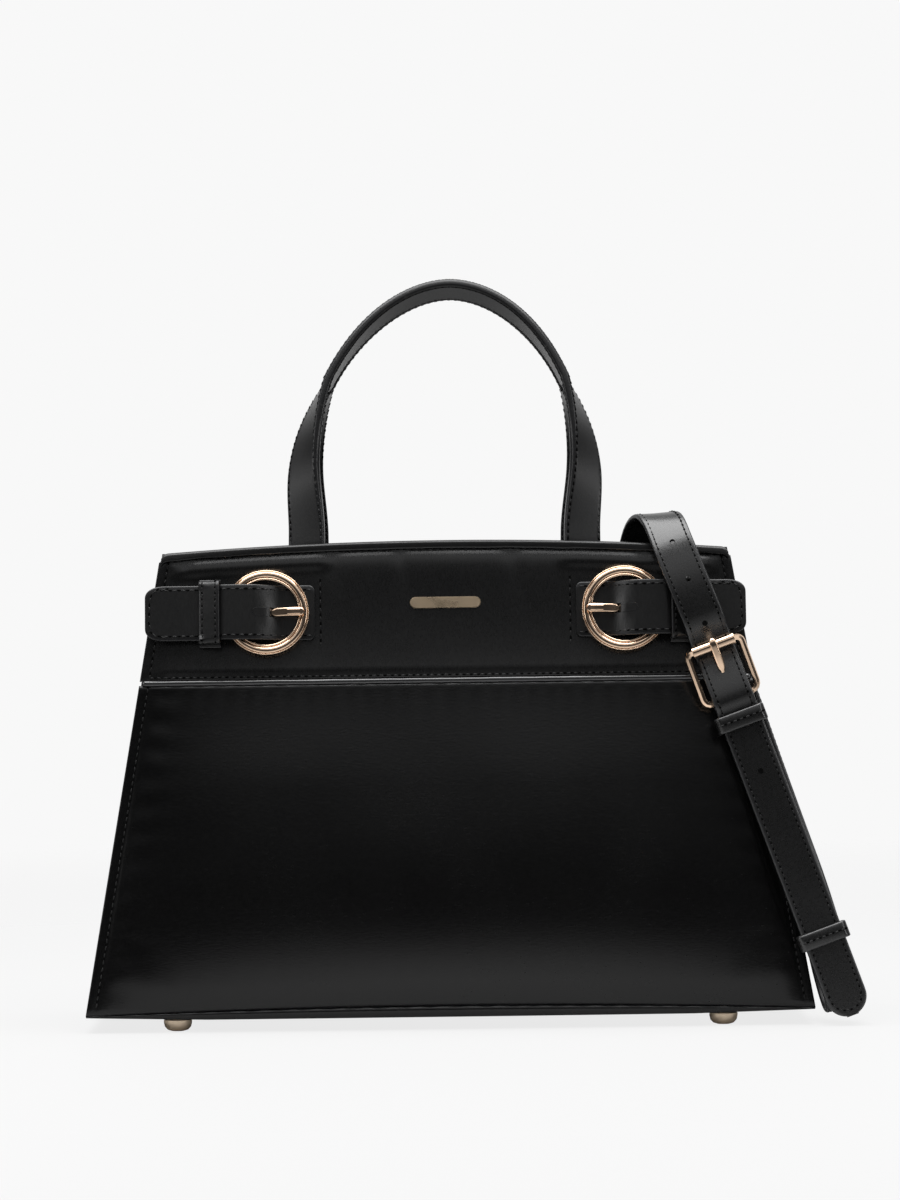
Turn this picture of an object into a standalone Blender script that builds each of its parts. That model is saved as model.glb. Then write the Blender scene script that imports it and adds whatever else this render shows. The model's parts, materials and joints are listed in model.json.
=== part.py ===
"""A small structured tote bag with two handles, buckled belts and a crossbody strap.

The origin is the middle of the base's underside, +X is to the right as seen from the front,
+Y runs from the front to the back and +Z is up. The four feet stand 5 mm below the origin.
"""

import math

import bpy
import bmesh
from mathutils import Matrix, Vector

# The shell of the bag
BASE_WIDTH = 0.315  # between the pointed bottom corners
BASE_DEPTH = 0.112
TOP_WIDTH = 0.2468
TOP_DEPTH = 0.076
SIDE_HEIGHT = 0.2012  # from the base to the top corners
TOP_ARCH = 0.0045  # how far the middle of the rim stands over its corners
BULGE = 0.010  # how far the front swells past its side seams
YOKE_DROP = 0.0562  # from the top corners down to the piping
PIPING_HEIGHT = SIDE_HEIGHT - YOKE_DROP
PANEL_THICKNESS = 0.0018
YOKE_THICKNESS = 0.0024
PIPING_RADIUS = 0.0013
BINDING_THICKNESS = 0.0008
BINDING_DEPTH = 0.0035
SEAM_GAP = 0.0003  # between two pieces that touch
FLANGE_WIDTH = 0.008  # seam allowance that stands out beside the gusset
GUSSET_THICKNESS = 0.0014
GUSSET_BOW = 0.006  # how far the gusset folds in at the rim
GUSSET_DROP = 0.005  # how far its rim lies under the corners
LINING_THICKNESS = 0.0009
BASE_THICKNESS = 0.002
BASE_CURL = 0.0032  # height of the base's curled front and back edges over its corners
BASE_EDGE_RISE = 0.0022
BOARD_THICKNESS = 0.002
BOARD_MARGIN = 0.006

# The feet
FOOT_RADIUS = 0.0061
FOOT_HEIGHT = 0.0048
FOOT_FLAT_RADIUS = 0.0028
FOOT_END_INSET = 0.0395  # from the base's ends
FOOT_SIDE_INSET = 0.011
FOOT_X = BASE_WIDTH / 2 - FOOT_END_INSET
FOOT_Y = BASE_DEPTH / 2 - FOOT_SIDE_INSET
STEM_RADIUS = 0.0015

# The handles
HANDLE_SPREAD = 0.060  # from the middle to each leg's centre line
HANDLE_LEG_RISE = 0.0338  # of the straight legs over the top corners
HANDLE_RISE = 0.1152  # of the whole handle over the top corners
HANDLE_STRAIGHT_HEIGHT = SIDE_HEIGHT + HANDLE_LEG_RISE
HANDLE_TOP_HEIGHT = SIDE_HEIGHT + HANDLE_RISE
HANDLE_WIDTH = 0.0161
HANDLE_THICKNESS = 0.0038
HANDLE_ARCH_POWER = 1.62  # 2 is an ellipse, less is more pointed
HANDLE_TOP_APART = 0.0190  # between the two handles' centre lines where they lean together
HANDLE_SWAY = 0.0033  # how far both lean to the right at the top
HANDLE_ROOT_TURN = math.radians(12)
HANDLE_TWIST_END = SIDE_HEIGHT + 0.0728  # height at which the strap has turned edge on
HANDLE_PIVOT_RISE = 0.0025  # of the line it folds about, over the rim
ANCHOR_LENGTH = 0.022

# The plate and the magnetic closure
PLATE_LENGTH = 0.031
PLATE_HEIGHT = 0.005
PLATE_THICKNESS = 0.0016
PLATE_Z = SIDE_HEIGHT - 0.0227
SNAP_RADIUS = 0.009
SNAP_THICKNESS = 0.0022
SNAP_DROP = 0.018  # from the rim to the centre of the snap

# The decorative belts, each in its own flat frame on the yoke
BELT_WIDTH = 0.024
BELT_THICKNESS = 0.0018
BELT_X = 0.0775  # ring centre
BELT_Z = SIDE_HEIGHT - 0.0265
BELT_INNER_REACH = 0.0208
BELT_OUTER_REACH = 0.0525
RING_OUTER_RADIUS = 0.0185
RING_WIRE_RADIAL = 0.0045
RING_WIRE_AXIAL = 0.0030
CHAPE_WIDTH = 0.0130
CHAPE_THICKNESS = 0.0008
CHAPE_REACH = 0.036
PRONG_RADIUS = 0.0011
RING_PRONG_HALF_WIDTH = 0.0016  # the belts' prongs are flat
PRONG_BAND_GAP = 0.0004  # round the ring's stepped wire, so that the band can turn
PRONG_TIP_REACH = 0.0156
BELT_KEEPER_REACH = 0.0245
BELT_KEEPER_WIDTH = 0.0095
KEEPER_THICKNESS = 0.0010
SLOT_WIDTH = 0.0040

# The crossbody strap
STRAP_WIDTH = 0.0178
STRAP_THICKNESS = 0.0026
STRAP_START = (TOP_WIDTH / 2 - 0.0249, SIDE_HEIGHT + 0.0035)  # x and z where it leaves the rim
STRAP_FOOT_OUT = 0.0148  # how far beside the base's corner its line would meet the ground plane
STRAP_LEAN = (BASE_WIDTH / 2 + STRAP_FOOT_OUT - STRAP_START[0]) / STRAP_START[1]  # x for each unit of drop
STRAP_FALL_OUT = 0.068  # distance gained from the bag for each unit that it drops
STRAP_LOWER_Y = -0.0513  # centre of the under layer at its reference height
STRAP_LOWER_Z = SIDE_HEIGHT - 0.0612
BUCKLE_Z = SIDE_HEIGHT - 0.0427  # height of the roller's centre
BUCKLE_Y = -0.0550
BUCKLE_BAR_LIFT = 0.0006  # from the under layer's middle out to the bar
BUCKLE_LENGTH = 0.024  # from the roller to the bar that carries the prong
BUCKLE_WIDTH = 0.0246  # between the wire centres of its two sides
BUCKLE_WIRE_RADIUS = 0.00145
BUCKLE_NEAR_CORNER = 0.0022
BUCKLE_FAR_CORNER = 0.0034
ROLLER_RADIUS = 0.0025
ROLLER_LENGTH = 0.0190
FOLD_THICKNESS = 0.0012
FIXED_KEEPER_Z = SIDE_HEIGHT - 0.0746
SLIDING_KEEPER_Z = 0.0330
STRAP_KEEPER_WIDTH = 0.0072
TIP_CENTRE_Z = 0.0078
TURN_START_Z = 0.018  # height at which the under layer starts to turn back
HOLE_RADIUS = 0.0012
HOLE_SPACING = 0.0208

# The hooks and rings that hold the strap inside the bag
DRING_WIDTH = 0.020
DRING_DROP = 0.013
DRING_WIRE_RADIUS = 0.0013
DRING_Z = SIDE_HEIGHT - 0.0147
DRING_INSET = 0.0052  # from the lining to the ring's bar
HOOK_LOOP_RADIUS = 0.0060
HOOK_WIRE_RADIUS = 0.0015
HOOK_LENGTH = 0.020  # from the loop's centre to the swivel
GATE_FREE_END = 188  # degrees round the hook's loop
GATE_HINGE = 254
EYE_WIDTH = 0.0225
EYE_HEIGHT = 0.010
TAB_WIDTH = 0.014
TAB_THICKNESS = 0.0012
TAB_RISE = 0.0085  # from the ring's bar to the tab's sewn end
EYE_WIRE_RADIUS = 0.0013
PIN_RADIUS = 0.0007

BLACK_LEATHER = ("black_leather", (0.012, 0.012, 0.013), 0.42, 0.0)
PATENT_PIPING = ("patent_piping", (0.010, 0.010, 0.011), 0.12, 0.0)
LINING_CLOTH = ("lining_cloth", (0.030, 0.028, 0.028), 0.80, 0.0)
GOLD_METAL = ("pale_gold", (0.83, 0.62, 0.42), 0.18, 1.0)
BOARD_STOCK = ("board_stock", (0.22, 0.19, 0.16), 0.85, 0.0)


def clear_scene():
    for obj in list(bpy.data.objects):
        bpy.data.objects.remove(obj, do_unlink=True)


def finish_material(finish):
    name, colour, roughness, metallic = finish
    found = bpy.data.materials.get(name)
    if found:
        return found
    made = bpy.data.materials.new(name)
    made.use_nodes = True
    shader = made.node_tree.nodes["Principled BSDF"]
    shader.inputs["Base Color"].default_value = (*colour, 1.0)
    shader.inputs["Roughness"].default_value = roughness
    shader.inputs["Metallic"].default_value = metallic
    return made


def add_object(name, mesh, finish, origin=None):
    """Links a mesh as a node. With an origin, the object's own origin moves to that point."""
    obj = bpy.data.objects.new(name, mesh)
    bpy.context.scene.collection.objects.link(obj)
    mesh.materials.append(finish_material(finish))
    if origin is not None:
        mesh.transform(Matrix.Translation(-Vector(origin)))
        obj.location = origin
    return obj


def mesh_from(points, faces, name):
    """A mesh with doubles merged and its faces turned outwards."""
    mesh = bpy.data.meshes.new(name)
    mesh.from_pydata([tuple(point) for point in points], [], faces)
    shape = bmesh.new()
    shape.from_mesh(mesh)
    bmesh.ops.remove_doubles(shape, verts=shape.verts, dist=1e-6)
    bmesh.ops.recalc_face_normals(shape, faces=shape.faces)
    shape.to_mesh(mesh)
    shape.free()
    mesh.shade_smooth()
    mesh.set_sharp_from_angle(angle=math.radians(40))
    return mesh


def grid_faces(rows, columns, start=0, wrap=False):
    """Quads between neighbouring rows of points. With wrap, each row is a closed ring."""
    faces = []
    last = columns if wrap else columns - 1
    for row in range(rows - 1):
        for column in range(last):
            beside = (column + 1) % columns
            here = start + row * columns
            above = here + columns
            faces.append((here + column, here + beside, above + beside, above + column))
    return faces


def slab(name, outer, inner, finish):
    """A closed sheet between two grids of points that have the same rows and columns."""
    rows = len(outer)
    columns = len(outer[0])
    points = [point for row in outer for point in row]
    points += [point for row in inner for point in row]
    count = rows * columns
    faces = grid_faces(rows, columns)
    faces += [tuple(reversed(face)) for face in grid_faces(rows, columns, count)]
    rim = [column for column in range(columns)]
    rim += [row * columns + columns - 1 for row in range(1, rows)]
    rim += [(rows - 1) * columns + column for column in range(columns - 2, -1, -1)]
    rim += [row * columns for row in range(rows - 2, 0, -1)]
    for here, beside in zip(rim, rim[1:] + rim[:1]):
        faces.append((beside, here, here + count, beside + count))
    return add_object(name, mesh_from(points, faces, name), finish)


def loft(name, rings, finish, closed=False, origin=None):
    """A skin over rings of equal count, with flat ends, or joined end to end when closed."""
    columns = len(rings[0])
    points = [point for ring in rings for point in ring]
    faces = grid_faces(len(rings), columns, wrap=True)
    if closed:
        last = (len(rings) - 1) * columns
        for column in range(columns):
            beside = (column + 1) % columns
            faces.append((last + column, last + beside, beside, column))
    else:
        faces.append(tuple(reversed(range(columns))))
        faces.append(tuple(range(len(points) - columns, len(points))))
    return add_object(name, mesh_from(points, faces, name), finish, origin)


def round_section(radius, sides=8, squash=1.0):
    return [
        (radius * math.cos(turn), radius * squash * math.sin(turn))
        for turn in (2 * math.pi * side / sides for side in range(sides))
    ]


def strap_section(width, thickness):
    """A flat strap's outline with its four edges eased."""
    half = width / 2
    deep = thickness / 2
    ease = thickness * 0.28
    return [
        (half, -deep + ease),
        (half, deep - ease),
        (half - ease, deep),
        (-half + ease, deep),
        (-half, deep - ease),
        (-half, -deep + ease),
        (-half + ease, -deep),
        (half - ease, -deep),
    ]


def smooth_path(points, steps):
    """A Catmull-Rom curve through the points, with the given number of steps in each span."""
    path = []
    held = [points[0]] + list(points) + [points[-1]]
    for before, start, end, after in zip(held, held[1:], held[2:], held[3:]):
        for step in range(steps):
            share = step / steps
            path.append(
                0.5
                * (
                    2 * start
                    + (end - before) * share
                    + (2 * before - 5 * start + 4 * end - after) * share**2
                    + (3 * start - before - 3 * end + after) * share**3
                )
            )
    path.append(points[-1].copy())
    return path


def tangents_of(path, closed=False):
    count = len(path)
    found = []
    for index in range(count):
        ahead = path[(index + 1) % count] if closed else path[min(index + 1, count - 1)]
        behind = path[index - 1] if closed else path[max(index - 1, 0)]
        found.append((ahead - behind).normalized())
    return found


def sweep(name, path, across, section_at, finish, closed=False, origin=None):
    """Carries a section along a path. across is the direction of its width at each point."""
    rings = []
    for index, tangent in enumerate(tangents_of(path, closed)):
        side = across[index]
        side = (side - side.dot(tangent) * tangent).normalized()
        up = tangent.cross(side)
        rings.append([path[index] + side * a + up * b for a, b in section_at(index)])
    return loft(name, rings, finish, closed, origin)


def cut_with(obj, cutter):
    cutter.hide_render = True
    cutter.display_type = "WIRE"
    cut = obj.modifiers.new("cut", "BOOLEAN")
    cut.operation = "DIFFERENCE"
    cut.solver = "EXACT"
    cut.object = cutter


def join_with(obj, other):
    other.hide_render = True
    other.display_type = "WIRE"
    join = obj.modifiers.new("join", "BOOLEAN")
    join.operation = "UNION"
    join.solver = "EXACT"
    join.object = other


def box_cutter(name, centre, axes, sizes):
    """A box whose three edges run along the given axes."""
    corners = []
    for a in (-0.5, 0.5):
        for b in (-0.5, 0.5):
            for c in (-0.5, 0.5):
                shift = axes[0] * sizes[0] * a + axes[1] * sizes[1] * b + axes[2] * sizes[2] * c
                corners.append(centre + shift)
    faces = [(0, 1, 3, 2), (4, 6, 7, 5), (0, 4, 5, 1), (2, 3, 7, 6), (0, 2, 6, 4), (1, 5, 7, 3)]
    return add_object(name, mesh_from(corners, faces, name), BLACK_LEATHER)


def rod(name, start, end, radius, finish, sides=12):
    direction = (end - start).normalized()
    helper = Vector((0, 0, 1)) if abs(direction.z) < 0.9 else Vector((1, 0, 0))
    path = [start, end]
    return sweep(name, path, [direction.cross(helper)] * 2, lambda _: round_section(radius, sides), finish)


# The shell's surfaces
def half_width(z):
    return (BASE_WIDTH + (TOP_WIDTH - BASE_WIDTH) * z / SIDE_HEIGHT) / 2


def half_depth(z):
    return (BASE_DEPTH + (TOP_DEPTH - BASE_DEPTH) * z / SIDE_HEIGHT) / 2


def swell(x, z):
    """How far the front or back stands out of its flat, most at a quarter of the height."""
    up = min(max(z / (SIDE_HEIGHT + TOP_ARCH), 0.0), 1.0)
    rise = up**0.8 * (1 - up) ** 2.4 / (0.25**0.8 * 0.75**2.4)
    across = min(abs(x) / half_width(z), 1.0)
    return BULGE * rise * (1 - across**4)


def face_depth(x, z):
    """Distance of the leather's outside from the middle plane, for the front and the back."""
    return half_depth(z) + swell(x, z)


def rim_height(x):
    return SIDE_HEIGHT + TOP_ARCH * (1 - (2 * x / TOP_WIDTH) ** 2)


def seam_height(x):
    """Where the front and back panels meet the base's curled edge."""
    return BASE_EDGE_RISE + BASE_CURL * (1 - (2 * x / BASE_WIDTH) ** 2)


COLUMNS = [-1, -0.97, -0.9, -0.8, -0.65, -0.45, -0.22, 0, 0.22, 0.45, 0.65, 0.8, 0.9, 0.97, 1]


def wall_grid(side, low, high, rows, offset):
    """Points of a front or back piece between two height functions, offset inwards."""
    grid = []
    for row in range(rows):
        share = row / (rows - 1)
        line = []
        for column in COLUMNS:
            guess = column * TOP_WIDTH / 2
            z = low(guess) + (high(guess) - low(guess)) * share
            x = column * half_width(z)
            z = low(x) + (high(x) - low(x)) * share
            x = column * half_width(z)
            line.append(Vector((x, side * (face_depth(x, z) - offset), z)))
        grid.append(line)
    return grid


def wall_pieces(word, side):
    """The lower panel, the padded yoke, the piping between them and the bound rim."""
    seam = PIPING_RADIUS + SEAM_GAP
    rim_room = BINDING_THICKNESS + SEAM_GAP

    def below_piping(_):
        return PIPING_HEIGHT - seam

    def above_piping(_):
        return PIPING_HEIGHT + seam

    def under_binding(x):
        return rim_height(x) - rim_room

    outer = wall_grid(side, seam_height, below_piping, 10, 0.0)
    inner = wall_grid(side, seam_height, below_piping, 10, PANEL_THICKNESS)
    slab(f"{word}_panel", outer, inner, BLACK_LEATHER)
    outer = wall_grid(side, above_piping, under_binding, 5, 0.0)
    inner = wall_grid(side, above_piping, under_binding, 5, YOKE_THICKNESS)
    slab(f"{word}_yoke", outer, inner, BLACK_LEATHER)

    path = []
    for column in COLUMNS:
        x = column * (half_width(PIPING_HEIGHT) - PIPING_RADIUS)
        path.append(Vector((x, side * (face_depth(x, PIPING_HEIGHT) - PIPING_RADIUS * 0.3), PIPING_HEIGHT)))
    up = [Vector((0, 0, 1))] * len(path)
    sweep(f"{word}_piping", path, up, lambda _: round_section(PIPING_RADIUS), PATENT_PIPING)

    rings = []
    inside = YOKE_THICKNESS + SEAM_GAP
    for column in COLUMNS:
        x = column * (half_width(SIDE_HEIGHT) - SEAM_GAP)
        top = rim_height(x)
        foot = top - BINDING_DEPTH

        def place(out, z):
            return Vector((x, side * (face_depth(x, z) + out), z))

        rings.append(
            [
                place(BINDING_THICKNESS + SEAM_GAP, foot),
                place(BINDING_THICKNESS + SEAM_GAP, top - BINDING_THICKNESS * 0.6),
                place(BINDING_THICKNESS * 0.3, top),
                place(-inside - BINDING_THICKNESS * 0.3, top),
                place(-inside - BINDING_THICKNESS, top - BINDING_THICKNESS * 0.6),
                place(-inside - BINDING_THICKNESS, foot),
                place(-inside, foot),
                place(-inside, top - BINDING_THICKNESS),
                place(SEAM_GAP, top - BINDING_THICKNESS),
                place(SEAM_GAP, foot),
            ]
        )
    loft(f"{word}_top_binding", rings, BLACK_LEATHER)


def gusset_room(z):
    """Half the depth that is left for a gusset between the front and back pieces."""
    return half_depth(z) - max(PANEL_THICKNESS, YOKE_THICKNESS) - BINDING_THICKNESS - 3 * SEAM_GAP


def gusset_bow(y, z):
    across = y / gusset_room(z)
    return GUSSET_BOW * (z / SIDE_HEIGHT) ** 2 * (1 - across**2)


def gusset_piece(word, side):
    low = BASE_THICKNESS + BASE_EDGE_RISE + SEAM_GAP
    rows = 8
    across = [-1, -1, -0.8, -0.45, 0, 0.45, 0.8, 1, 1]
    outer = []
    inner = []
    for row in range(rows):
        outside = []
        inside = []
        for index, share in enumerate(across):
            rim = SIDE_HEIGHT - GUSSET_DROP * (1 - share**2)
            z = low + (rim - low) * row / (rows - 1)
            y = share * gusset_room(z)
            wall = half_width(z) - FLANGE_WIDTH - gusset_bow(y, z)
            inward = -math.copysign(GUSSET_THICKNESS, share) if abs(share) == 1 else 0.0
            if index in (0, len(across) - 1):
                tip = half_width(z) - 0.0006
                inside.append(Vector((side * tip, y, z)))
                outside.append(Vector((side * tip, y + inward, z)))
            else:
                inside.append(Vector((side * wall, y, z)))
                outside.append(Vector((side * (wall + GUSSET_THICKNESS), y + inward, z)))
        outer.append(outside)
        inner.append(inside)
    slab(f"{word}_gusset", outer, inner, BLACK_LEATHER)


def base_pieces():
    """The base leather curls up at its long edges, so only its middle is flat."""
    flat_x = 0.105
    flat_y = 0.032
    end = BASE_WIDTH / 2 - 0.0005
    along = [-end, -end + FLANGE_WIDTH, -flat_x, -0.05, 0.05, flat_x, end - FLANGE_WIDTH, end]
    lower = []
    upper = []
    kinds = ("edge", "curl", "turn", "flat")
    for share, kind in [(-1, kind) for kind in kinds] + [(1, kind) for kind in kinds[::-1]]:
        under = []
        over = []
        for x in along:
            seam = seam_height(x) - SEAM_GAP
            edge = face_depth(x, seam) - 0.0004
            end_rise = BASE_EDGE_RISE * 0.5 * max(0.0, (abs(x) - flat_x) / (end - flat_x))
            if kind == "edge":
                under.append(Vector((x, share * edge, seam)))
                over.append(Vector((x, share * (edge - BASE_THICKNESS * 0.8), seam)))
            elif kind == "curl":
                under.append(Vector((x, share * (edge - 0.0006), end_rise + 0.0007)))
                inner_edge = edge - BASE_THICKNESS * 1.1
                over.append(Vector((x, share * inner_edge, end_rise + BASE_THICKNESS * 0.9)))
            elif kind == "turn":
                under.append(Vector((x, share * (edge - 0.0035), end_rise + 0.0002)))
                over.append(Vector((x, share * (edge - 0.0045), end_rise + BASE_THICKNESS)))
            else:
                under.append(Vector((x, share * flat_y, end_rise)))
                over.append(Vector((x, share * flat_y, end_rise + BASE_THICKNESS)))
        lower.append(under)
        upper.append(over)
    base = slab("base_panel", lower, upper, BLACK_LEATHER)

    board_x = BASE_WIDTH / 2 - FLANGE_WIDTH - BOARD_MARGIN
    board_y = BASE_DEPTH / 2 - BOARD_MARGIN
    board_z = BASE_THICKNESS + BASE_EDGE_RISE * 0.5 + SEAM_GAP
    corner = 0.012
    outline = []
    for sx, sy, turn in ((1, 1, 0), (-1, 1, 90), (-1, -1, 180), (1, -1, 270)):
        for step in range(4):
            angle = math.radians(turn + 30 * step)
            x = sx * (board_x - corner) + corner * math.cos(angle)
            y = sy * (board_y - corner) + corner * math.sin(angle)
            outline.append((x, y))
    rings = [[Vector((x, y, z)) for x, y in outline] for z in (board_z, board_z + BOARD_THICKNESS)]
    board = loft("base_board", rings, BOARD_STOCK)
    return base, board, board_z + BOARD_THICKNESS


def foot_pieces(base, board, board_top):
    """Each dome has a stem that goes up through the base and the board."""
    profile = [(0.0, FOOT_HEIGHT), (FOOT_FLAT_RADIUS, FOOT_HEIGHT)]
    for step in range(1, 4):
        turn = math.radians(30 * step)
        out = FOOT_FLAT_RADIUS + (FOOT_RADIUS - FOOT_FLAT_RADIUS) * math.sin(turn)
        profile.append((out, 0.0012 + (FOOT_HEIGHT - 0.0012) * math.cos(turn)))
    profile.append((FOOT_RADIUS, 0.0))
    sides = 12
    for word_y, y in (("front", -FOOT_Y), ("back", FOOT_Y)):
        for word_x, x in (("left", -FOOT_X), ("right", FOOT_X)):
            top = -0.0003
            rings = []
            for radius, drop in profile[1:]:
                ring = round_section(radius, sides)
                rings.append([Vector((x + a, y + b, top - drop)) for a, b in ring])
            for z in (top, board_top):
                rings.append([Vector((x + a, y + b, z)) for a, b in round_section(STEM_RADIUS, sides)])
            name = f"{word_y}_{word_x}_foot"
            loft(name, rings, GOLD_METAL)
            clear = STEM_RADIUS + SEAM_GAP
            cutter = rod(f"{name}_hole", Vector((x, y, -0.01)), Vector((x, y, 0.02)), clear, GOLD_METAL)
            cut_with(base, cutter)
            cut_with(board, cutter)


# The handles
def handle_point(turn, side):
    """Centre line of a handle, from the left root (0) over the top to the right root (1)."""
    root_z = rim_height(HANDLE_SPREAD) + SEAM_GAP
    straight = 0.16
    if turn < straight or turn > 1 - straight:
        share = turn / straight if turn < 0.5 else (1 - turn) / straight
        x = HANDLE_SPREAD
        z = root_z + (HANDLE_STRAIGHT_HEIGHT - root_z) * share
        x = -x if turn < 0.5 else x
    else:
        angle = math.pi * (turn - straight) / (1 - 2 * straight)
        power = 2 / HANDLE_ARCH_POWER
        x = -HANDLE_SPREAD * math.copysign(abs(math.cos(angle)) ** power, math.cos(angle))
        z = HANDLE_STRAIGHT_HEIGHT + (HANDLE_TOP_HEIGHT - HANDLE_STRAIGHT_HEIGHT) * math.sin(angle) ** power
    rise = (z - root_z) / (HANDLE_TOP_HEIGHT - root_z)
    root_y = handle_root_y()
    y = root_y + (HANDLE_TOP_APART / 2 - root_y) * rise
    return Vector((x + HANDLE_SWAY * max(rise, 0.0) ** 1.5, side * y, z))


def handle_root_y():
    half_turned = HANDLE_WIDTH / 2 * math.sin(HANDLE_ROOT_TURN) + HANDLE_THICKNESS / 2
    rim = rim_height(HANDLE_SPREAD)
    return face_depth(HANDLE_SPREAD, rim) - YOKE_THICKNESS - BINDING_THICKNESS - 2.5 * SEAM_GAP - half_turned


def handle_pivot(side):
    """A handle bends over the rim, so it turns about a line just above the binding."""
    rim = rim_height(HANDLE_SPREAD)
    return Vector((0, side * (face_depth(HANDLE_SPREAD, rim) - YOKE_THICKNESS / 2), rim + HANDLE_PIVOT_RISE))


def handle_twist(z):
    root = rim_height(HANDLE_SPREAD)
    share = min(max((z - root) / (HANDLE_TWIST_END - root), 0.0), 1.0)
    return HANDLE_ROOT_TURN + (math.pi / 2 - HANDLE_ROOT_TURN) * share**1.3


def handle_piece(word, side):
    steps = 36
    path = [handle_point(step / steps, side) for step in range(steps + 1)]
    lean = (path[steps // 2] - path[0])
    lean = Vector((0, lean.y, lean.z)).normalized()
    plane = Vector((1, 0, 0)).cross(lean)
    forward = plane if plane.y * side > 0 else -plane
    across = []
    middle = path[steps // 2]
    for point, tangent in zip(path, tangents_of(path)):
        outward = tangent.cross(forward)
        if outward.dot(point - middle + Vector((0, 0, HANDLE_TOP_HEIGHT * 0.3))) < 0:
            outward = -outward
        turn = handle_twist(point.z)
        normal = outward * math.sin(turn) + forward * math.cos(turn)
        across.append(tangent.cross(normal))
    section = strap_section(HANDLE_WIDTH, HANDLE_THICKNESS)
    sweep(f"{word}_handle", path, across, lambda _: section, BLACK_LEATHER, origin=handle_pivot(side))


def handle_anchors(word, side):
    """The strap ends that are sewn between the yoke and the lining."""
    top = rim_height(HANDLE_SPREAD)
    root_y = handle_root_y()
    for name, x in (("left", -1), ("right", 1)):
        path = []
        across = []
        for step in range(5):
            share = step / 4
            z = top - ANCHOR_LENGTH * share
            y = root_y + (face_depth(HANDLE_SPREAD, z) - face_depth(HANDLE_SPREAD, top))
            turn = HANDLE_ROOT_TURN * (1 - share) ** 2
            path.append(Vector((x * HANDLE_SPREAD, side * y, z)))
            across.append(Vector((x * math.cos(turn), -side * math.sin(turn), 0)))
        section = strap_section(HANDLE_WIDTH, HANDLE_THICKNESS)
        sweep(f"{word}_{name}_handle_anchor", path, across, lambda _: section, BLACK_LEATHER)


def leg_room(x, z):
    """The lining stands off the yoke where a handle's end lies between them."""
    near = abs(abs(x) - HANDLE_SPREAD)
    reach = HANDLE_WIDTH / 2 + 0.004
    fade = min(max(1 - (near - reach) / 0.018, 0.0), 1.0)
    low = rim_height(HANDLE_SPREAD) - ANCHOR_LENGTH - 0.004
    up = min(max((z - low + 0.030) / 0.030, 0.0), 1.0)
    thick = HANDLE_THICKNESS + HANDLE_WIDTH * math.sin(HANDLE_ROOT_TURN) + 2 * SEAM_GAP
    return thick * fade * fade * (3 - 2 * fade) * up


def lining_depth(x, z):
    """Distance of the lining's inside from the middle plane."""
    return face_depth(x, z) - lining_inset(x, z) - LINING_THICKNESS


def lining_wall(z):
    """Distance of the lining's inside from the middle plane at a gusset."""
    return half_width(z) - FLANGE_WIDTH - gusset_bow(0, z) - 2 * SEAM_GAP - LINING_THICKNESS


LINING_COLUMNS = [-1, -0.85, -0.74, -0.64, -0.5, -0.34, -0.24, 0, 0.24, 0.34, 0.5, 0.64, 0.74, 0.85, 1]


def lining_inset(x, z):
    """From the leather's outside to the lining's outside."""
    return YOKE_THICKNESS + BINDING_THICKNESS + 4 * SEAM_GAP + leg_room(x, z)


def lining_ring(z, inward, lowest):
    top = GUSSET_DROP + 0.001
    points = []
    reach = lining_wall(min(z, SIDE_HEIGHT - GUSSET_DROP)) + LINING_THICKNESS - inward
    for side in (-1, 1):
        columns = LINING_COLUMNS if side < 0 else LINING_COLUMNS[::-1]
        for column in columns:
            x = column * reach
            rise = rim_height(x) - BINDING_THICKNESS if z > SIDE_HEIGHT - top else z
            if abs(column) == 1:
                rise = min(rise, SIDE_HEIGHT - GUSSET_DROP - SEAM_GAP)
            depth = face_depth(x, min(z, SIDE_HEIGHT)) - lining_inset(x, z) - inward
            squeeze = 1 - 0.12 * max(0.0, abs(column) - 0.85) / 0.15
            if lowest:
                depth -= 0.004
            points.append(Vector((x, side * depth * squeeze, rise)))
    return points


def lining_piece(board_top):
    """A sewn cloth bag, open at the top, that hangs inside the leather."""
    floor = board_top + SEAM_GAP
    heights = [SIDE_HEIGHT, 0.190, 0.170, 0.145, 0.080, 0.022]
    outer = [lining_ring(z, 0.0, False) for z in heights] + [lining_ring(floor, 0.0, True)]
    inner = [lining_ring(z, LINING_THICKNESS, False) for z in heights]
    inner.append(lining_ring(floor + LINING_THICKNESS, LINING_THICKNESS, True))
    return loft("lining", outer[::-1] + inner, LINING_CLOTH)


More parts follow.
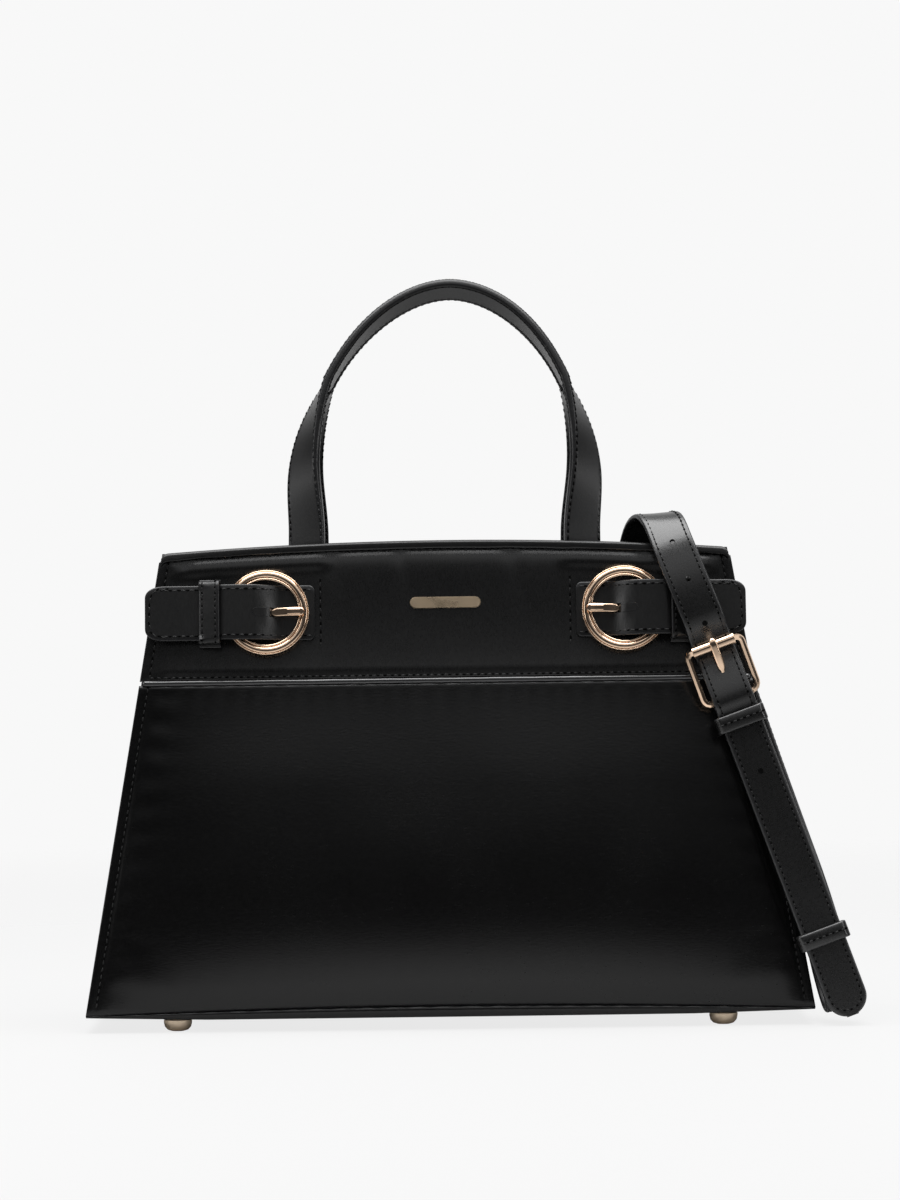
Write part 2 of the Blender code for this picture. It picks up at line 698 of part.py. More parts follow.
def plate_and_snaps():
    y = -face_depth(0, PLATE_Z) - SEAM_GAP
    half = PLATE_LENGTH / 2
    end = PLATE_HEIGHT / 2
    lean = math.atan2(face_depth(0, PLATE_Z - 0.01) - face_depth(0, PLATE_Z + 0.01), 0.02)
    up = Vector((0, math.sin(lean), math.cos(lean)))
    out = Vector((0, -math.cos(lean), math.sin(lean)))
    centre = Vector((0, y, PLATE_Z))
    outline = []
    for turn, x in ((-90, half - end), (90, -half + end)):
        for step in range(7):
            angle = math.radians(turn + 30 * step)
            outline.append((x + end * math.cos(angle), end * math.sin(angle)))
    rings = []
    for depth, scale in ((0.0, 1.0), (PLATE_THICKNESS * 0.7, 1.0), (PLATE_THICKNESS, 0.88)):
        ring = []
        for a, b in outline:
            a = math.copysign(abs(a) - end * (1 - scale), a)
            ring.append(centre + Vector((a, 0, 0)) + up * b * scale + out * depth)
        rings.append(ring)
    loft("name_plate", rings, GOLD_METAL)

    z = SIDE_HEIGHT - SNAP_DROP
    for name, side, profile in (
        ("snap_socket", 1, ((SNAP_RADIUS, 0.0), (SNAP_RADIUS, 0.7), (0.8 * SNAP_RADIUS, 1.0))),
        (
            "snap_stud",
            -1,
            ((SNAP_RADIUS, 0.0), (SNAP_RADIUS, 0.4), (0.4 * SNAP_RADIUS, 0.6), (0.3 * SNAP_RADIUS, 1.0)),
        ),
    ):
        centre = Vector((0, side * (lining_depth(0, z) - 2 * SEAM_GAP), z))
        drop = lining_depth(0, z - SNAP_RADIUS) - lining_depth(0, z + SNAP_RADIUS)
        lean = math.atan2(drop, 2 * SNAP_RADIUS)
        up = Vector((0, -side * math.sin(lean), math.cos(lean)))
        inwards = Vector((0, -side * math.cos(lean), -math.sin(lean)))
        rings = []
        for radius, share in profile:
            ring = round_section(radius, 20)
            middle = centre + inwards * SNAP_THICKNESS * share
            rings.append([middle + Vector((a, 0, 0)) + up * b for a, b in ring])
        loft(name, rings, GOLD_METAL)


# The belts. Each works in a flat frame: along the belt, up the yoke and out of it.
class YokeFrame:
    def __init__(self, side):
        depth = face_depth(BELT_X, BELT_Z)
        drop = face_depth(BELT_X, BELT_Z - 0.01) - face_depth(BELT_X, BELT_Z + 0.01)
        lean = math.atan2(drop, 0.02)
        self.origin = Vector((side * BELT_X, -depth, BELT_Z))
        self.along = Vector((side, 0, 0))
        self.up = Vector((0, math.sin(lean), math.cos(lean)))
        self.out = Vector((0, -math.cos(lean), math.sin(lean)))

    def at(self, s, v, u):
        return self.origin + self.along * s + self.up * v + self.out * u


RING_MEAN_RADIUS = RING_OUTER_RADIUS - RING_WIRE_RADIAL / 2
BELT_LOW = BELT_THICKNESS / 2 + 0.0005
RING_OUT = BELT_LOW + BELT_THICKNESS / 2 + SEAM_GAP + RING_WIRE_AXIAL / 2
FOLD_TOP = RING_OUT + RING_WIRE_AXIAL / 2 + 2 * SEAM_GAP + CHAPE_THICKNESS
BELT_HIGH = FOLD_TOP + SEAM_GAP + BELT_THICKNESS / 2
BELT_REST = 0.0005 + 2 * CHAPE_THICKNESS + 3 * SEAM_GAP + BELT_THICKNESS / 2


def ease(value, start, end):
    share = min(max((value - start) / (end - start), 0.0), 1.0)
    return share * share * (3 - 2 * share)


def belt_out(s):
    """Height of the belt's middle over the yoke along its length."""
    climb = ease(s, -0.0085, 0.0085)
    settle = ease(s, RING_OUTER_RADIUS - 0.001, BELT_KEEPER_REACH + 0.002)
    return BELT_LOW + (BELT_HIGH - BELT_LOW) * climb - (BELT_HIGH - BELT_REST) * settle


def belt_piece(word, frame):
    stations = [-BELT_INNER_REACH, -0.015, -0.0085]
    stations += [-0.0085 + 0.0017 * step for step in range(1, 11)]
    stations += [0.0125, 0.0172, 0.0188, 0.0205, 0.0223, 0.0242, 0.0266, 0.036]
    round_end = [0.0, 0.35, 0.6, 0.8, 0.93, 1.0]
    tip = 0.009
    stations += [BELT_OUTER_REACH - tip + tip * share for share in round_end]
    path = [frame.at(s, 0, belt_out(s)) for s in stations]

    def section_at(index):
        s = stations[index]
        over = max(0.0, s - (BELT_OUTER_REACH - tip)) / tip
        narrow = 1 - 0.42 * (1 - math.sqrt(max(0.0, 1 - over**2.4)))
        return strap_section(BELT_WIDTH * narrow, BELT_THICKNESS)

    belt = sweep(f"{word}_belt", path, [frame.up] * len(path), section_at, BLACK_LEATHER)
    axes = (frame.along, frame.up, frame.out)
    slot = box_cutter(f"{word}_belt_slot", frame.at(0.0012, 0, 0.005), axes, (0.0135, SLOT_WIDTH, 0.03))
    cut_with(belt, slot)


def chape_piece(word, frame):
    """A narrow strap folded round the ring's outer side and sewn to the yoke under the belt."""
    low = 0.0005 + CHAPE_THICKNESS / 2
    bar = RING_MEAN_RADIUS - 0.0010
    reach = RING_WIRE_RADIAL / 2 + 2 * SEAM_GAP + CHAPE_THICKNESS / 2 + 0.0004
    tall = RING_WIRE_AXIAL / 2 + 2 * SEAM_GAP + CHAPE_THICKNESS / 2
    second = low + CHAPE_THICKNESS + SEAM_GAP
    points = [(CHAPE_REACH, low), (bar + 0.006, low)]
    for step in range(9):
        turn = math.radians(-90 - 22.5 * step)
        points.append((bar + reach * math.cos(turn), RING_OUT + tall * math.sin(turn)))
    beyond = RING_OUTER_RADIUS + 2 * SEAM_GAP + CHAPE_THICKNESS
    points += [(RING_MEAN_RADIUS + 0.0014, RING_OUT + tall * 0.92), (beyond, RING_OUT + 0.0004)]
    points += [(beyond + 0.0032, second + 0.0001), (CHAPE_REACH - 0.002, second)]
    path = [frame.at(s, 0, u) for s, u in points]
    section = strap_section(CHAPE_WIDTH, CHAPE_THICKNESS)
    chape = sweep(f"{word}_chape", path, [frame.up] * len(path), lambda _: section, BLACK_LEATHER)
    axes = (frame.along, frame.up, frame.out)
    middle = frame.at(RING_MEAN_RADIUS - 0.0014, 0, RING_OUT)
    slot = box_cutter(f"{word}_chape_slot", middle, axes, (0.0110, SLOT_WIDTH + 0.0010, 0.02))
    cut_with(chape, slot)


def ring_piece(word, frame):
    """A heavy round ring with a stepped face. It rocks on its outer side."""
    half = RING_WIRE_RADIAL / 2
    deep = RING_WIRE_AXIAL / 2
    profile = [
        (half, -0.4 * deep),
        (half, 0.35 * deep),
        (0.55 * half, deep),
        (0.05 * half, deep),
        (-0.2 * half, 0.55 * deep),
        (-half, 0.3 * deep),
        (-half, -0.4 * deep),
        (-0.5 * half, -deep),
        (0.5 * half, -deep),
    ]
    rings = []
    sides = 36
    for side in range(sides):
        turn = 2 * math.pi * side / sides
        ring = []
        for out, up in profile:
            radius = RING_MEAN_RADIUS + out
            ring.append(frame.at(radius * math.cos(turn), radius * math.sin(turn), RING_OUT + up))
        rings.append(ring)
    loft(f"{word}_ring", rings, GOLD_METAL, closed=True, origin=frame.at(RING_MEAN_RADIUS, 0, RING_OUT))


def prong_piece(word, frame):
    """It turns on the ring's outer side, comes up through the belt and rests on the inner side."""
    rest = RING_OUT + RING_WIRE_AXIAL / 2 + SEAM_GAP + PRONG_RADIUS
    wrap = RING_MEAN_RADIUS
    inner = RING_WIRE_RADIAL / 2 + PRONG_BAND_GAP
    points = [
        Vector((wrap - inner - 0.0004, RING_OUT)),
        Vector((0.007, RING_OUT - 0.0004)),
        Vector((0.001, RING_OUT - 0.0001)),
        Vector((-0.004, RING_OUT + 0.0010)),
        Vector((-0.0085, rest - 0.0006)),
        Vector((-0.0125, rest)),
        Vector((-PRONG_TIP_REACH, rest)),
    ]
    path = [frame.at(p.x, 0, p.y) for p in smooth_path(points, 2)]
    count = len(path)
    across = [frame.up] * count

    def section_at(index):
        taper = 1 - 0.25 * ease(index / (count - 1), 0.5, 1.0)
        return [(a * taper * RING_PRONG_HALF_WIDTH, b * PRONG_RADIUS) for a, b in round_section(1.0)]

    prong = sweep(f"{word}_prong", path, across, section_at, GOLD_METAL, origin=frame.at(wrap, 0, RING_OUT))
    # Its root is a small band round the ring's wire
    rings = []
    thick = 0.0009
    for step in range(20):
        turn = 2 * math.pi * step / 20
        ring = []
        for added, end in ((0.0, -1), (thick, -1), (thick, 1), (0.0, 1)):
            s = wrap + (inner + added) * math.cos(turn)
            u = RING_OUT + (RING_WIRE_AXIAL / 2 + PRONG_BAND_GAP + added * 0.35) * math.sin(turn)
            ring.append(frame.at(s, end * RING_PRONG_HALF_WIDTH * 0.86, u))
        rings.append(ring)
    band = loft(f"{word}_prong_band", rings, GOLD_METAL, closed=True)
    band_frame = prong.location.copy()
    prong.data.transform(Matrix.Translation(band_frame))
    prong.location = (0, 0, 0)
    join_with(prong, band)


def belt_keeper_piece(word, frame):
    """A strip that bridges the belt and is stitched to the yoke on both sides."""
    low = 0.0005 + KEEPER_THICKNESS / 2
    near = belt_out(BELT_KEEPER_REACH - BELT_KEEPER_WIDTH / 2)
    high = (near + BELT_REST) / 2 + BELT_THICKNESS / 2 + 2 * SEAM_GAP + KEEPER_THICKNESS / 2
    wide = BELT_WIDTH / 2 + 2 * SEAM_GAP + KEEPER_THICKNESS / 2
    foot = wide + 0.0028
    points = [(-foot, low), (-wide - 0.0010, low), (-wide, low + 0.0010)]
    points += [(-wide, high - 0.0014), (-wide + 0.0012, high)]
    points += [(-v, u) for v, u in reversed(points)]
    path = [frame.at(BELT_KEEPER_REACH, v, u) for v, u in points]
    # Its top slopes with the belt, which comes down from the ring there
    slope = frame.along - frame.out * (near - BELT_REST) / BELT_KEEPER_WIDTH
    across = [slope if u > low + 0.0012 else frame.along for _, u in points]
    section = strap_section(BELT_KEEPER_WIDTH, KEEPER_THICKNESS)
    sweep(f"{word}_belt_keeper", path, across, lambda _: section, BLACK_LEATHER)


def belt_pieces():
    for word, side in (("left", -1), ("right", 1)):
        frame = YokeFrame(side)
        belt_piece(word, frame)
        chape_piece(word, frame)
        ring_piece(word, frame)
        prong_piece(word, frame)
        belt_keeper_piece(word, frame)


# The crossbody strap
def strap_lower(z):
    """Centre of the under layer on the strap's straight front stretch."""
    x = STRAP_START[0] + (STRAP_START[1] - z) * STRAP_LEAN
    y = STRAP_LOWER_Y - (STRAP_LOWER_Z - z) * STRAP_FALL_OUT
    return Vector((x, y, z))


def strap_upper(z):
    return strap_lower(z) + Vector((0, -(STRAP_THICKNESS + SEAM_GAP), 0))


STRAP_DOWN = (strap_lower(0.0) - strap_lower(0.1)).normalized()
STRAP_ACROSS = Vector((1, 0, STRAP_LEAN)).normalized()
STRAP_OUT = STRAP_DOWN.cross(STRAP_ACROSS).normalized()
if STRAP_OUT.y > 0:
    STRAP_OUT = -STRAP_OUT


# The buckle leans: its bar lies in the strap's fold, and its roller stands on the upper layer
ROLLER_CENTRE = Vector((strap_lower(BUCKLE_Z).x, BUCKLE_Y, BUCKLE_Z))
BAR_NEARBY = strap_lower(BUCKLE_Z - BUCKLE_LENGTH * 0.94) + STRAP_OUT * BUCKLE_BAR_LIFT
BUCKLE_DOWN = (BAR_NEARBY - ROLLER_CENTRE).normalized()
BUCKLE_OUT = STRAP_ACROSS.cross(BUCKLE_DOWN).normalized()
if BUCKLE_OUT.y > 0:
    BUCKLE_OUT = -BUCKLE_OUT


def buckle_point(down, out=0.0, across=0.0):
    """A point in the buckle's own frame, whose origin is the roller's centre."""
    return ROLLER_CENTRE + BUCKLE_DOWN * down + BUCKLE_OUT * out + STRAP_ACROSS * across


def blend_across(count, marks):
    """Width directions that change smoothly between the marks, given as index and vector."""
    found = []
    for index in range(count):
        before = max((mark for mark in marks if mark[0] <= index), key=lambda mark: mark[0])
        after = min((mark for mark in marks if mark[0] >= index), key=lambda mark: mark[0])
        if before[0] == after[0]:
            found.append(before[1].normalized())
            continue
        share = ease(index, before[0], after[0])
        found.append(before[1].lerp(after[1], share).normalized())
    return found


def tip_strap():
    """The long part: from its pointed end up through the buckle, over the rim and inside."""
    under_roller = -(ROLLER_RADIUS + STRAP_THICKNESS / 2 + SEAM_GAP)
    over_bar = BUCKLE_WIRE_RADIUS + FOLD_THICKNESS + STRAP_THICKNESS / 2 + 3 * SEAM_GAP
    tip_end = TIP_CENTRE_Z - STRAP_WIDTH / 2 * 0.94
    points = [strap_upper(tip_end + STRAP_WIDTH / 2 * share) for share in (0.0, 0.06, 0.2, 0.42, 0.7, 1.0)]
    points += [strap_upper(z) for z in (0.030, 0.060, 0.090)]
    points += [strap_upper(FIXED_KEEPER_Z - drop) for drop in (0.0146, 0.0066, 0.0)]
    points.append(buckle_point(BUCKLE_LENGTH + 0.0040, over_bar - 0.0006))
    points.append(buckle_point(BUCKLE_LENGTH, over_bar))
    points.append(buckle_point(BUCKLE_LENGTH - 0.0060, over_bar - 0.0020))
    points.append(buckle_point(BUCKLE_LENGTH * 0.42, under_roller * 0.25))
    points.append(buckle_point(0.0045, under_roller * 0.97))
    points.append(buckle_point(0.0, under_roller))
    points.append(buckle_point(-0.0060, under_roller))
    # Over the rim and inside: share of the eyes' distance, y, and drop under the top corners
    inside = [
        (1.0346, -0.0524, 0.0272),
        (0.9789, -0.0528, 0.0132),
        (0.9289, -0.0478, -0.0018),
        (0.8940, -0.0380, -0.0116),
        (0.8582, -0.0272, -0.0134),
        (0.8186, -0.0190, -0.0058),
        (0.7828, -0.0150, 0.0112),
        (0.7167, -0.0140, 0.0412),
        (0.5659, -0.0160, 0.0752),
        (0.3112, -0.0180, 0.1032),
        (0.0, -0.0190, 0.1152),
        (-0.3584, -0.0180, 0.1152),
        (-0.6790, -0.0140, 0.1042),
        (-0.8771, -0.0070, 0.0872),
        (-0.9525, -0.0015, 0.0772),
    ]
    first_inside = len(points)
    reach = dring_bar(1).x
    points += [Vector((share * reach, y, SIDE_HEIGHT - drop)) for share, y, drop in inside]
    steps = 2
    path = smooth_path(points, steps)
    fold = eye_fold(-1)
    path += fold
    marks = [
        (0, STRAP_ACROSS),
        (steps * (first_inside + 2), STRAP_ACROSS),
        (steps * (first_inside + 4), Vector((0.93, 0.12, 0.05))),
        (steps * (first_inside + 6), Vector((0.97, 0.0, -0.22))),
        (steps * (first_inside + 9), Vector((0.25, 0.95, 0.0))),
        (steps * (first_inside + 10), Vector((0.0, 1.0, 0.0))),
        (len(path) - 1, Vector((0.0, 1.0, 0.0))),
    ]
    across = blend_across(len(path), marks)
    arc = {0: 0.30, 1: 0.45, 2: 0.60, 3: 0.71, 4: 0.80, 5: 0.87, 6: 0.93, 7: 0.965, 8: 0.985, 9: 0.995}

    def section_at(index):
        thick = FOLD_THICKNESS if index >= len(path) - len(fold) else STRAP_THICKNESS
        return strap_section(STRAP_WIDTH * arc.get(index, 1.0), thick)

    strap = sweep("strap_tip_part", path, across, section_at, BLACK_LEATHER)
    cut_holes(strap)
    return strap


def cut_holes(strap):
    """Five punched holes. The prong sits in the middle one, which is slotted by wear."""
    hole_at = BUCKLE_LENGTH * 0.43
    axes = (BUCKLE_DOWN, STRAP_ACROSS, BUCKLE_OUT)
    slot = box_cutter("strap_prong_slot", buckle_point(hole_at + 0.0021), axes, (0.0156, 0.0030, 0.02))
    cut_with(strap, slot)
    for count in (-2, -1, 2):
        centre = buckle_point(hole_at + HOLE_SPACING * count * (1.16 if count > 0 else 1.0))
        ends = (centre + STRAP_OUT * 0.02, centre - STRAP_OUT * 0.012)
        cut_with(strap, rod(f"strap_hole_{count + 2}", *ends, HOLE_RADIUS, BLACK_LEATHER, 10))


# The strap's hardware inside the bag
def dring_bar(side):
    return Vector((side * (lining_wall(DRING_Z) - DRING_INSET), 0, DRING_Z))


def hook_centre(side):
    """The middle of the hook's loop, which hangs on the ring's round side."""
    hang = DRING_DROP - DRING_WIRE_RADIUS - SEAM_GAP + HOOK_LOOP_RADIUS - HOOK_WIRE_RADIUS
    return dring_bar(side) - Vector((0, 0, hang))


def eye_top(side):
    """The middle of the eye's upper bar, between the hook's collar and the pin's head."""
    return hook_centre(side) - Vector((0, 0, HOOK_LENGTH + SEAM_GAP + EYE_WIRE_RADIUS))


def eye_bar(side):
    return eye_top(side) - Vector((0, 0, EYE_HEIGHT))


def eye_fold(side):
    """The strap's thinned end goes up outside the eye's bar, over it and down again."""
    bar = eye_bar(side)
    wrap = EYE_WIRE_RADIUS + SEAM_GAP + FOLD_THICKNESS / 2
    end = [bar + Vector((side * 0.0022, 0, -0.0066)), bar + Vector((side * (wrap - 0.0001), 0, -0.0028))]
    for step in range(7):
        turn = math.radians(30 * step)
        end.append(bar + Vector((side * wrap * math.cos(turn), 0, wrap * math.sin(turn))))
    end.append(bar + Vector((-side * (wrap - 0.0001), 0, -0.0028)))
    return end


def buckle_strap():
    """The short part: folded round the buckle's bar, down, back up the side and over the rim."""
    wrap = BUCKLE_WIRE_RADIUS + SEAM_GAP + FOLD_THICKNESS / 2
    flap = STRAP_THICKNESS / 2 + SEAM_GAP + FOLD_THICKNESS / 2
    points = []
    thick = []
    for rise in (-0.0061, 0.001):
        points.append(strap_lower(FIXED_KEEPER_Z + rise) - STRAP_OUT * flap)
        thick.append(FOLD_THICKNESS)
    for step in range(9):
        turn = math.radians(-90 - 22.5 * step)
        points.append(buckle_point(BUCKLE_LENGTH + wrap * math.cos(turn), wrap * math.sin(turn)))
        thick.append(FOLD_THICKNESS)
    points.append(buckle_point(BUCKLE_LENGTH + 0.0036, wrap - 0.0011))
    thick.append(FOLD_THICKNESS * 1.2)
    for drop in (0.0, 0.0066, 0.0146):
        points.append(strap_lower(FIXED_KEEPER_Z - drop))
        thick.append(STRAP_THICKNESS)
    hanging = [strap_lower(z) for z in (0.085, 0.055, 0.030, TURN_START_Z)]
    # The turn at the bottom, from the place where the front stretch ends
    turn_start = strap_lower(TURN_START_Z)
    bottom = [
        (0.0032, 0.0010, -0.0090),
        (0.0042, 0.0036, -0.0130),
        (0.0040, 0.0086, -0.0144),
        (0.0032, 0.0146, -0.0128),
        (0.0014, 0.0226, -0.0050),
    ]
    hanging += [turn_start + Vector(point) for point in bottom]
    # Back up beside the gusset: distance out of the side edge, y, and share of the side's height
    beside = [(0.0109, -0.0270, 0.159), (0.0100, -0.0160, 0.308), (0.0076, -0.0070, 0.472)]
    beside += [(0.0032, -0.0020, 0.636), (-0.0022, 0.0, 0.785)]
    for out, y, share in beside:
        z = SIDE_HEIGHT * share
        hanging.append(Vector((half_width(z) + out, y, z)))
    # Over the gusset's rim and inside: distance out of the eye, and drop under the top corners
    inside = [(0.0145, 0.0212), (0.0110, 0.0082), (0.0060, 0.0020), (-0.0030, 0.0044)]
    inside += [(-0.0095, 0.0182), (-0.0125, 0.0412), (-0.0120, 0.0592), (-0.0088, 0.0672)]
    hanging += [Vector((dring_bar(1).x + out, 0, SIDE_HEIGHT - drop)) for out, drop in inside]
    sharp = len(points) - 1
    path = points[:-1] + smooth_path([points[-1]] + hanging, 2)
    thick = thick[:-1] + [STRAP_THICKNESS] * (len(path) - len(thick) + 1)
    fold = eye_fold(1)
    path += fold
    thick += [FOLD_THICKNESS] * len(fold)
    twist_start = sharp + 2 * 8
    twist_end = sharp + 2 * 13
    marks = [
        (0, STRAP_ACROSS),
        (twist_start, STRAP_ACROSS),
        (twist_end, Vector((0.0, -1.0, 0.0))),
        (len(path) - 1, Vector((0.0, -1.0, 0.0))),
    ]
    across = blend_across(len(path), marks)

    def section_at(index):
        return strap_section(STRAP_WIDTH, thick[index])

    strap = sweep("strap_buckle_part", path, across, section_at, BLACK_LEATHER)
    axes = (BUCKLE_DOWN, STRAP_ACROSS, BUCKLE_OUT)
    middle = buckle_point(BUCKLE_LENGTH - 0.002)
    slot = box_cutter("strap_fold_slot", middle, axes, (0.0085, SLOT_WIDTH + 0.0008, 0.02))
    cut_with(strap, slot)


def buckle_pieces():
    """A rounded wire frame with a roller on its near side and a prong on its far bar."""
    half = BUCKLE_WIDTH / 2
    path = []
    for start, down, across in ((0, 1, 1), (90, 0, 1), (180, 0, -1), (270, 1, -1)):
        corner = BUCKLE_FAR_CORNER if down else BUCKLE_NEAR_CORNER
        middle = BUCKLE_LENGTH - corner if down else corner
        for step in range(5):
            turn = math.radians(start + 22.5 * step)
            beside = across * (half - corner) + corner * math.sin(turn)
            path.append(buckle_point(middle + corner * math.cos(turn), 0, beside))
    out = [BUCKLE_OUT] * len(path)
    bar = buckle_point(BUCKLE_LENGTH)
    wire = round_section(BUCKLE_WIRE_RADIUS)
    sweep("roller_buckle_frame", path, out, lambda _: wire, GOLD_METAL, closed=True, origin=bar)

    rings = []
    inner = BUCKLE_WIRE_RADIUS + 0.0002
    for across, radius in ((-1, inner), (-1, ROLLER_RADIUS), (1, ROLLER_RADIUS), (1, inner)):
        ring = []
        for step in range(16):
            turn = 2 * math.pi * step / 16
            shift = BUCKLE_DOWN * radius * math.cos(turn) + BUCKLE_OUT * radius * math.sin(turn)
            ring.append(buckle_point(0, 0, across * ROLLER_LENGTH / 2) + shift)
        rings.append(ring)
    loft("buckle_roller", rings, GOLD_METAL, closed=True, origin=buckle_point(0))

    rest = ROLLER_RADIUS + SEAM_GAP + PRONG_RADIUS
    points = [
        buckle_point(BUCKLE_LENGTH - BUCKLE_WIRE_RADIUS - 0.0006, 0),
        buckle_point(BUCKLE_LENGTH * 0.68, -0.0001),
        buckle_point(BUCKLE_LENGTH * 0.45, 0.0003),
        buckle_point(BUCKLE_LENGTH * 0.25, rest * 0.62),
        buckle_point(0.0030, rest - 0.0001),
        buckle_point(-0.0005, rest),
        buckle_point(-0.0030, rest - 0.0003),
    ]
    path = smooth_path(points, 2)
    count = len(path)
    wire = round_section(PRONG_RADIUS)
    prong = sweep("buckle_prong", path, [STRAP_ACROSS] * count, lambda _: wire, GOLD_METAL)
    rings = []
    thick = 0.0007
    for step in range(16):
        turn = 2 * math.pi * step / 16
        ring = []
        for added, end in ((0.0, -1), (thick, -1), (thick, 1), (0.0, 1)):
            radius = BUCKLE_WIRE_RADIUS + 0.0002 + added
            down = BUCKLE_LENGTH + radius * math.cos(turn)
            ring.append(buckle_point(down, radius * math.sin(turn), end * PRONG_RADIUS))
        rings.append(ring)
    join_with(prong, loft("buckle_prong_band", rings, GOLD_METAL, closed=True))


def keeper_loop(name, z, top_out, bottom_out, origin=None):
    """A flat band round both layers of the strap, with its corners cut off."""
    centre = strap_lower(z)
    half = STRAP_WIDTH / 2 + 2 * SEAM_GAP
    cut = 0.0009  # off each outer corner
    nudge = 0.0002  # off each inner corner
    rings = []
    for across, out in ((-1, -1), (1, -1), (1, 1), (-1, 1)):
        a_in = across * half
        b_in = top_out if out > 0 else bottom_out
        a_out = a_in + across * KEEPER_THICKNESS
        b_out = b_in + out * KEEPER_THICKNESS
        # Each corner has two rings: one where the band comes in and one where it goes on
        down_the_side = ((a_in, b_in - out * nudge), (a_out, b_out - out * cut))
        along_the_face = ((a_in - across * nudge, b_in), (a_out - across * cut, b_out))
        pairs = (down_the_side, along_the_face)
        for near, rim in pairs if across == out else pairs[::-1]:
            ring = []
            for (a, b), down in ((near, -0.5), (rim, -0.5), (rim, 0.5), (near, 0.5)):
                shift = STRAP_ACROSS * a + STRAP_OUT * b + STRAP_DOWN * STRAP_KEEPER_WIDTH * down
                ring.append(centre + shift)
            rings.append(ring)
    return loft(name, rings, BLACK_LEATHER, closed=True, origin=origin)


def strap_keepers():
    pitch = STRAP_THICKNESS + SEAM_GAP
    clear = STRAP_THICKNESS / 2 + SEAM_GAP
    start = strap_lower(SLIDING_KEEPER_Z)
    keeper_loop("sliding_keeper", SLIDING_KEEPER_Z, pitch + clear, -clear, origin=start)
    flap = FOLD_THICKNESS + SEAM_GAP
    keeper_loop("fixed_keeper", FIXED_KEEPER_Z, pitch + clear + 0.0012, -clear - flap)


def hardware_pieces():
    for word, side in (("left", -1), ("right", 1)):
        bar = dring_bar(side)
        tab_piece(word, side, bar)
        dring_piece(word, bar)
        hook_pieces(word, side, bar)


def tab_piece(word, side, bar):
    """A leather tab hangs from the lining's edge and is folded round the ring's straight bar."""
    wrap = DRING_WIRE_RADIUS + SEAM_GAP + TAB_THICKNESS / 2
    near = lining_wall(DRING_Z + TAB_RISE) - SEAM_GAP - TAB_THICKNESS / 2
    lower = lining_wall(DRING_Z + 0.0035) - SEAM_GAP - TAB_THICKNESS / 2
    points = [(near, TAB_RISE), (lower, 0.0035), (abs(bar.x) + wrap * 0.9, 0.0014)]
    for step in range(7):
        turn = math.radians(-30 * step)
        points.append((abs(bar.x) + wrap * math.cos(turn), wrap * math.sin(turn)))
    beside = TAB_THICKNESS + SEAM_GAP
    points.append((abs(bar.x) - wrap * 0.75, 0.0024))
    points += [(near - beside, TAB_RISE - 0.0033), (near - beside, TAB_RISE)]
    path = [Vector((side * x, 0, DRING_Z + z)) for x, z in points]
    section = strap_section(TAB_WIDTH, TAB_THICKNESS)
    wide = [Vector((0, 1, 0))] * len(path)
    sweep(f"{word}_dring_tab", path, wide, lambda _: section, BLACK_LEATHER)


def dring_piece(word, bar):
    half = DRING_WIDTH / 2
    shoulder = 0.0016  # drop of the round part's ends under the straight bar
    path = []
    for step in range(5):
        path.append(bar + Vector((0, half * (step / 2 - 1) * 0.86, 0)))
    for step in range(13):
        turn = math.radians(15 * step)
        drop = shoulder + (DRING_DROP - shoulder) * math.sin(turn)
        path.append(bar + Vector((0, half * math.cos(turn), -drop)))
    across = [Vector((1, 0, 0))] * len(path)
    wire = round_section(DRING_WIRE_RADIUS)
    sweep(f"{word}_dring", path, across, lambda _: wire, GOLD_METAL, closed=True, origin=bar)


def turned(name, centre, profile, finish, sides=12):
    """A turned shape on an upright axis, from pairs of radius and height, bottom to top."""
    rings = []
    for radius, height in profile:
        ring = round_section(radius, sides)
        rings.append([centre + Vector((a, b, height)) for a, b in ring])
    return loft(name, rings, finish)


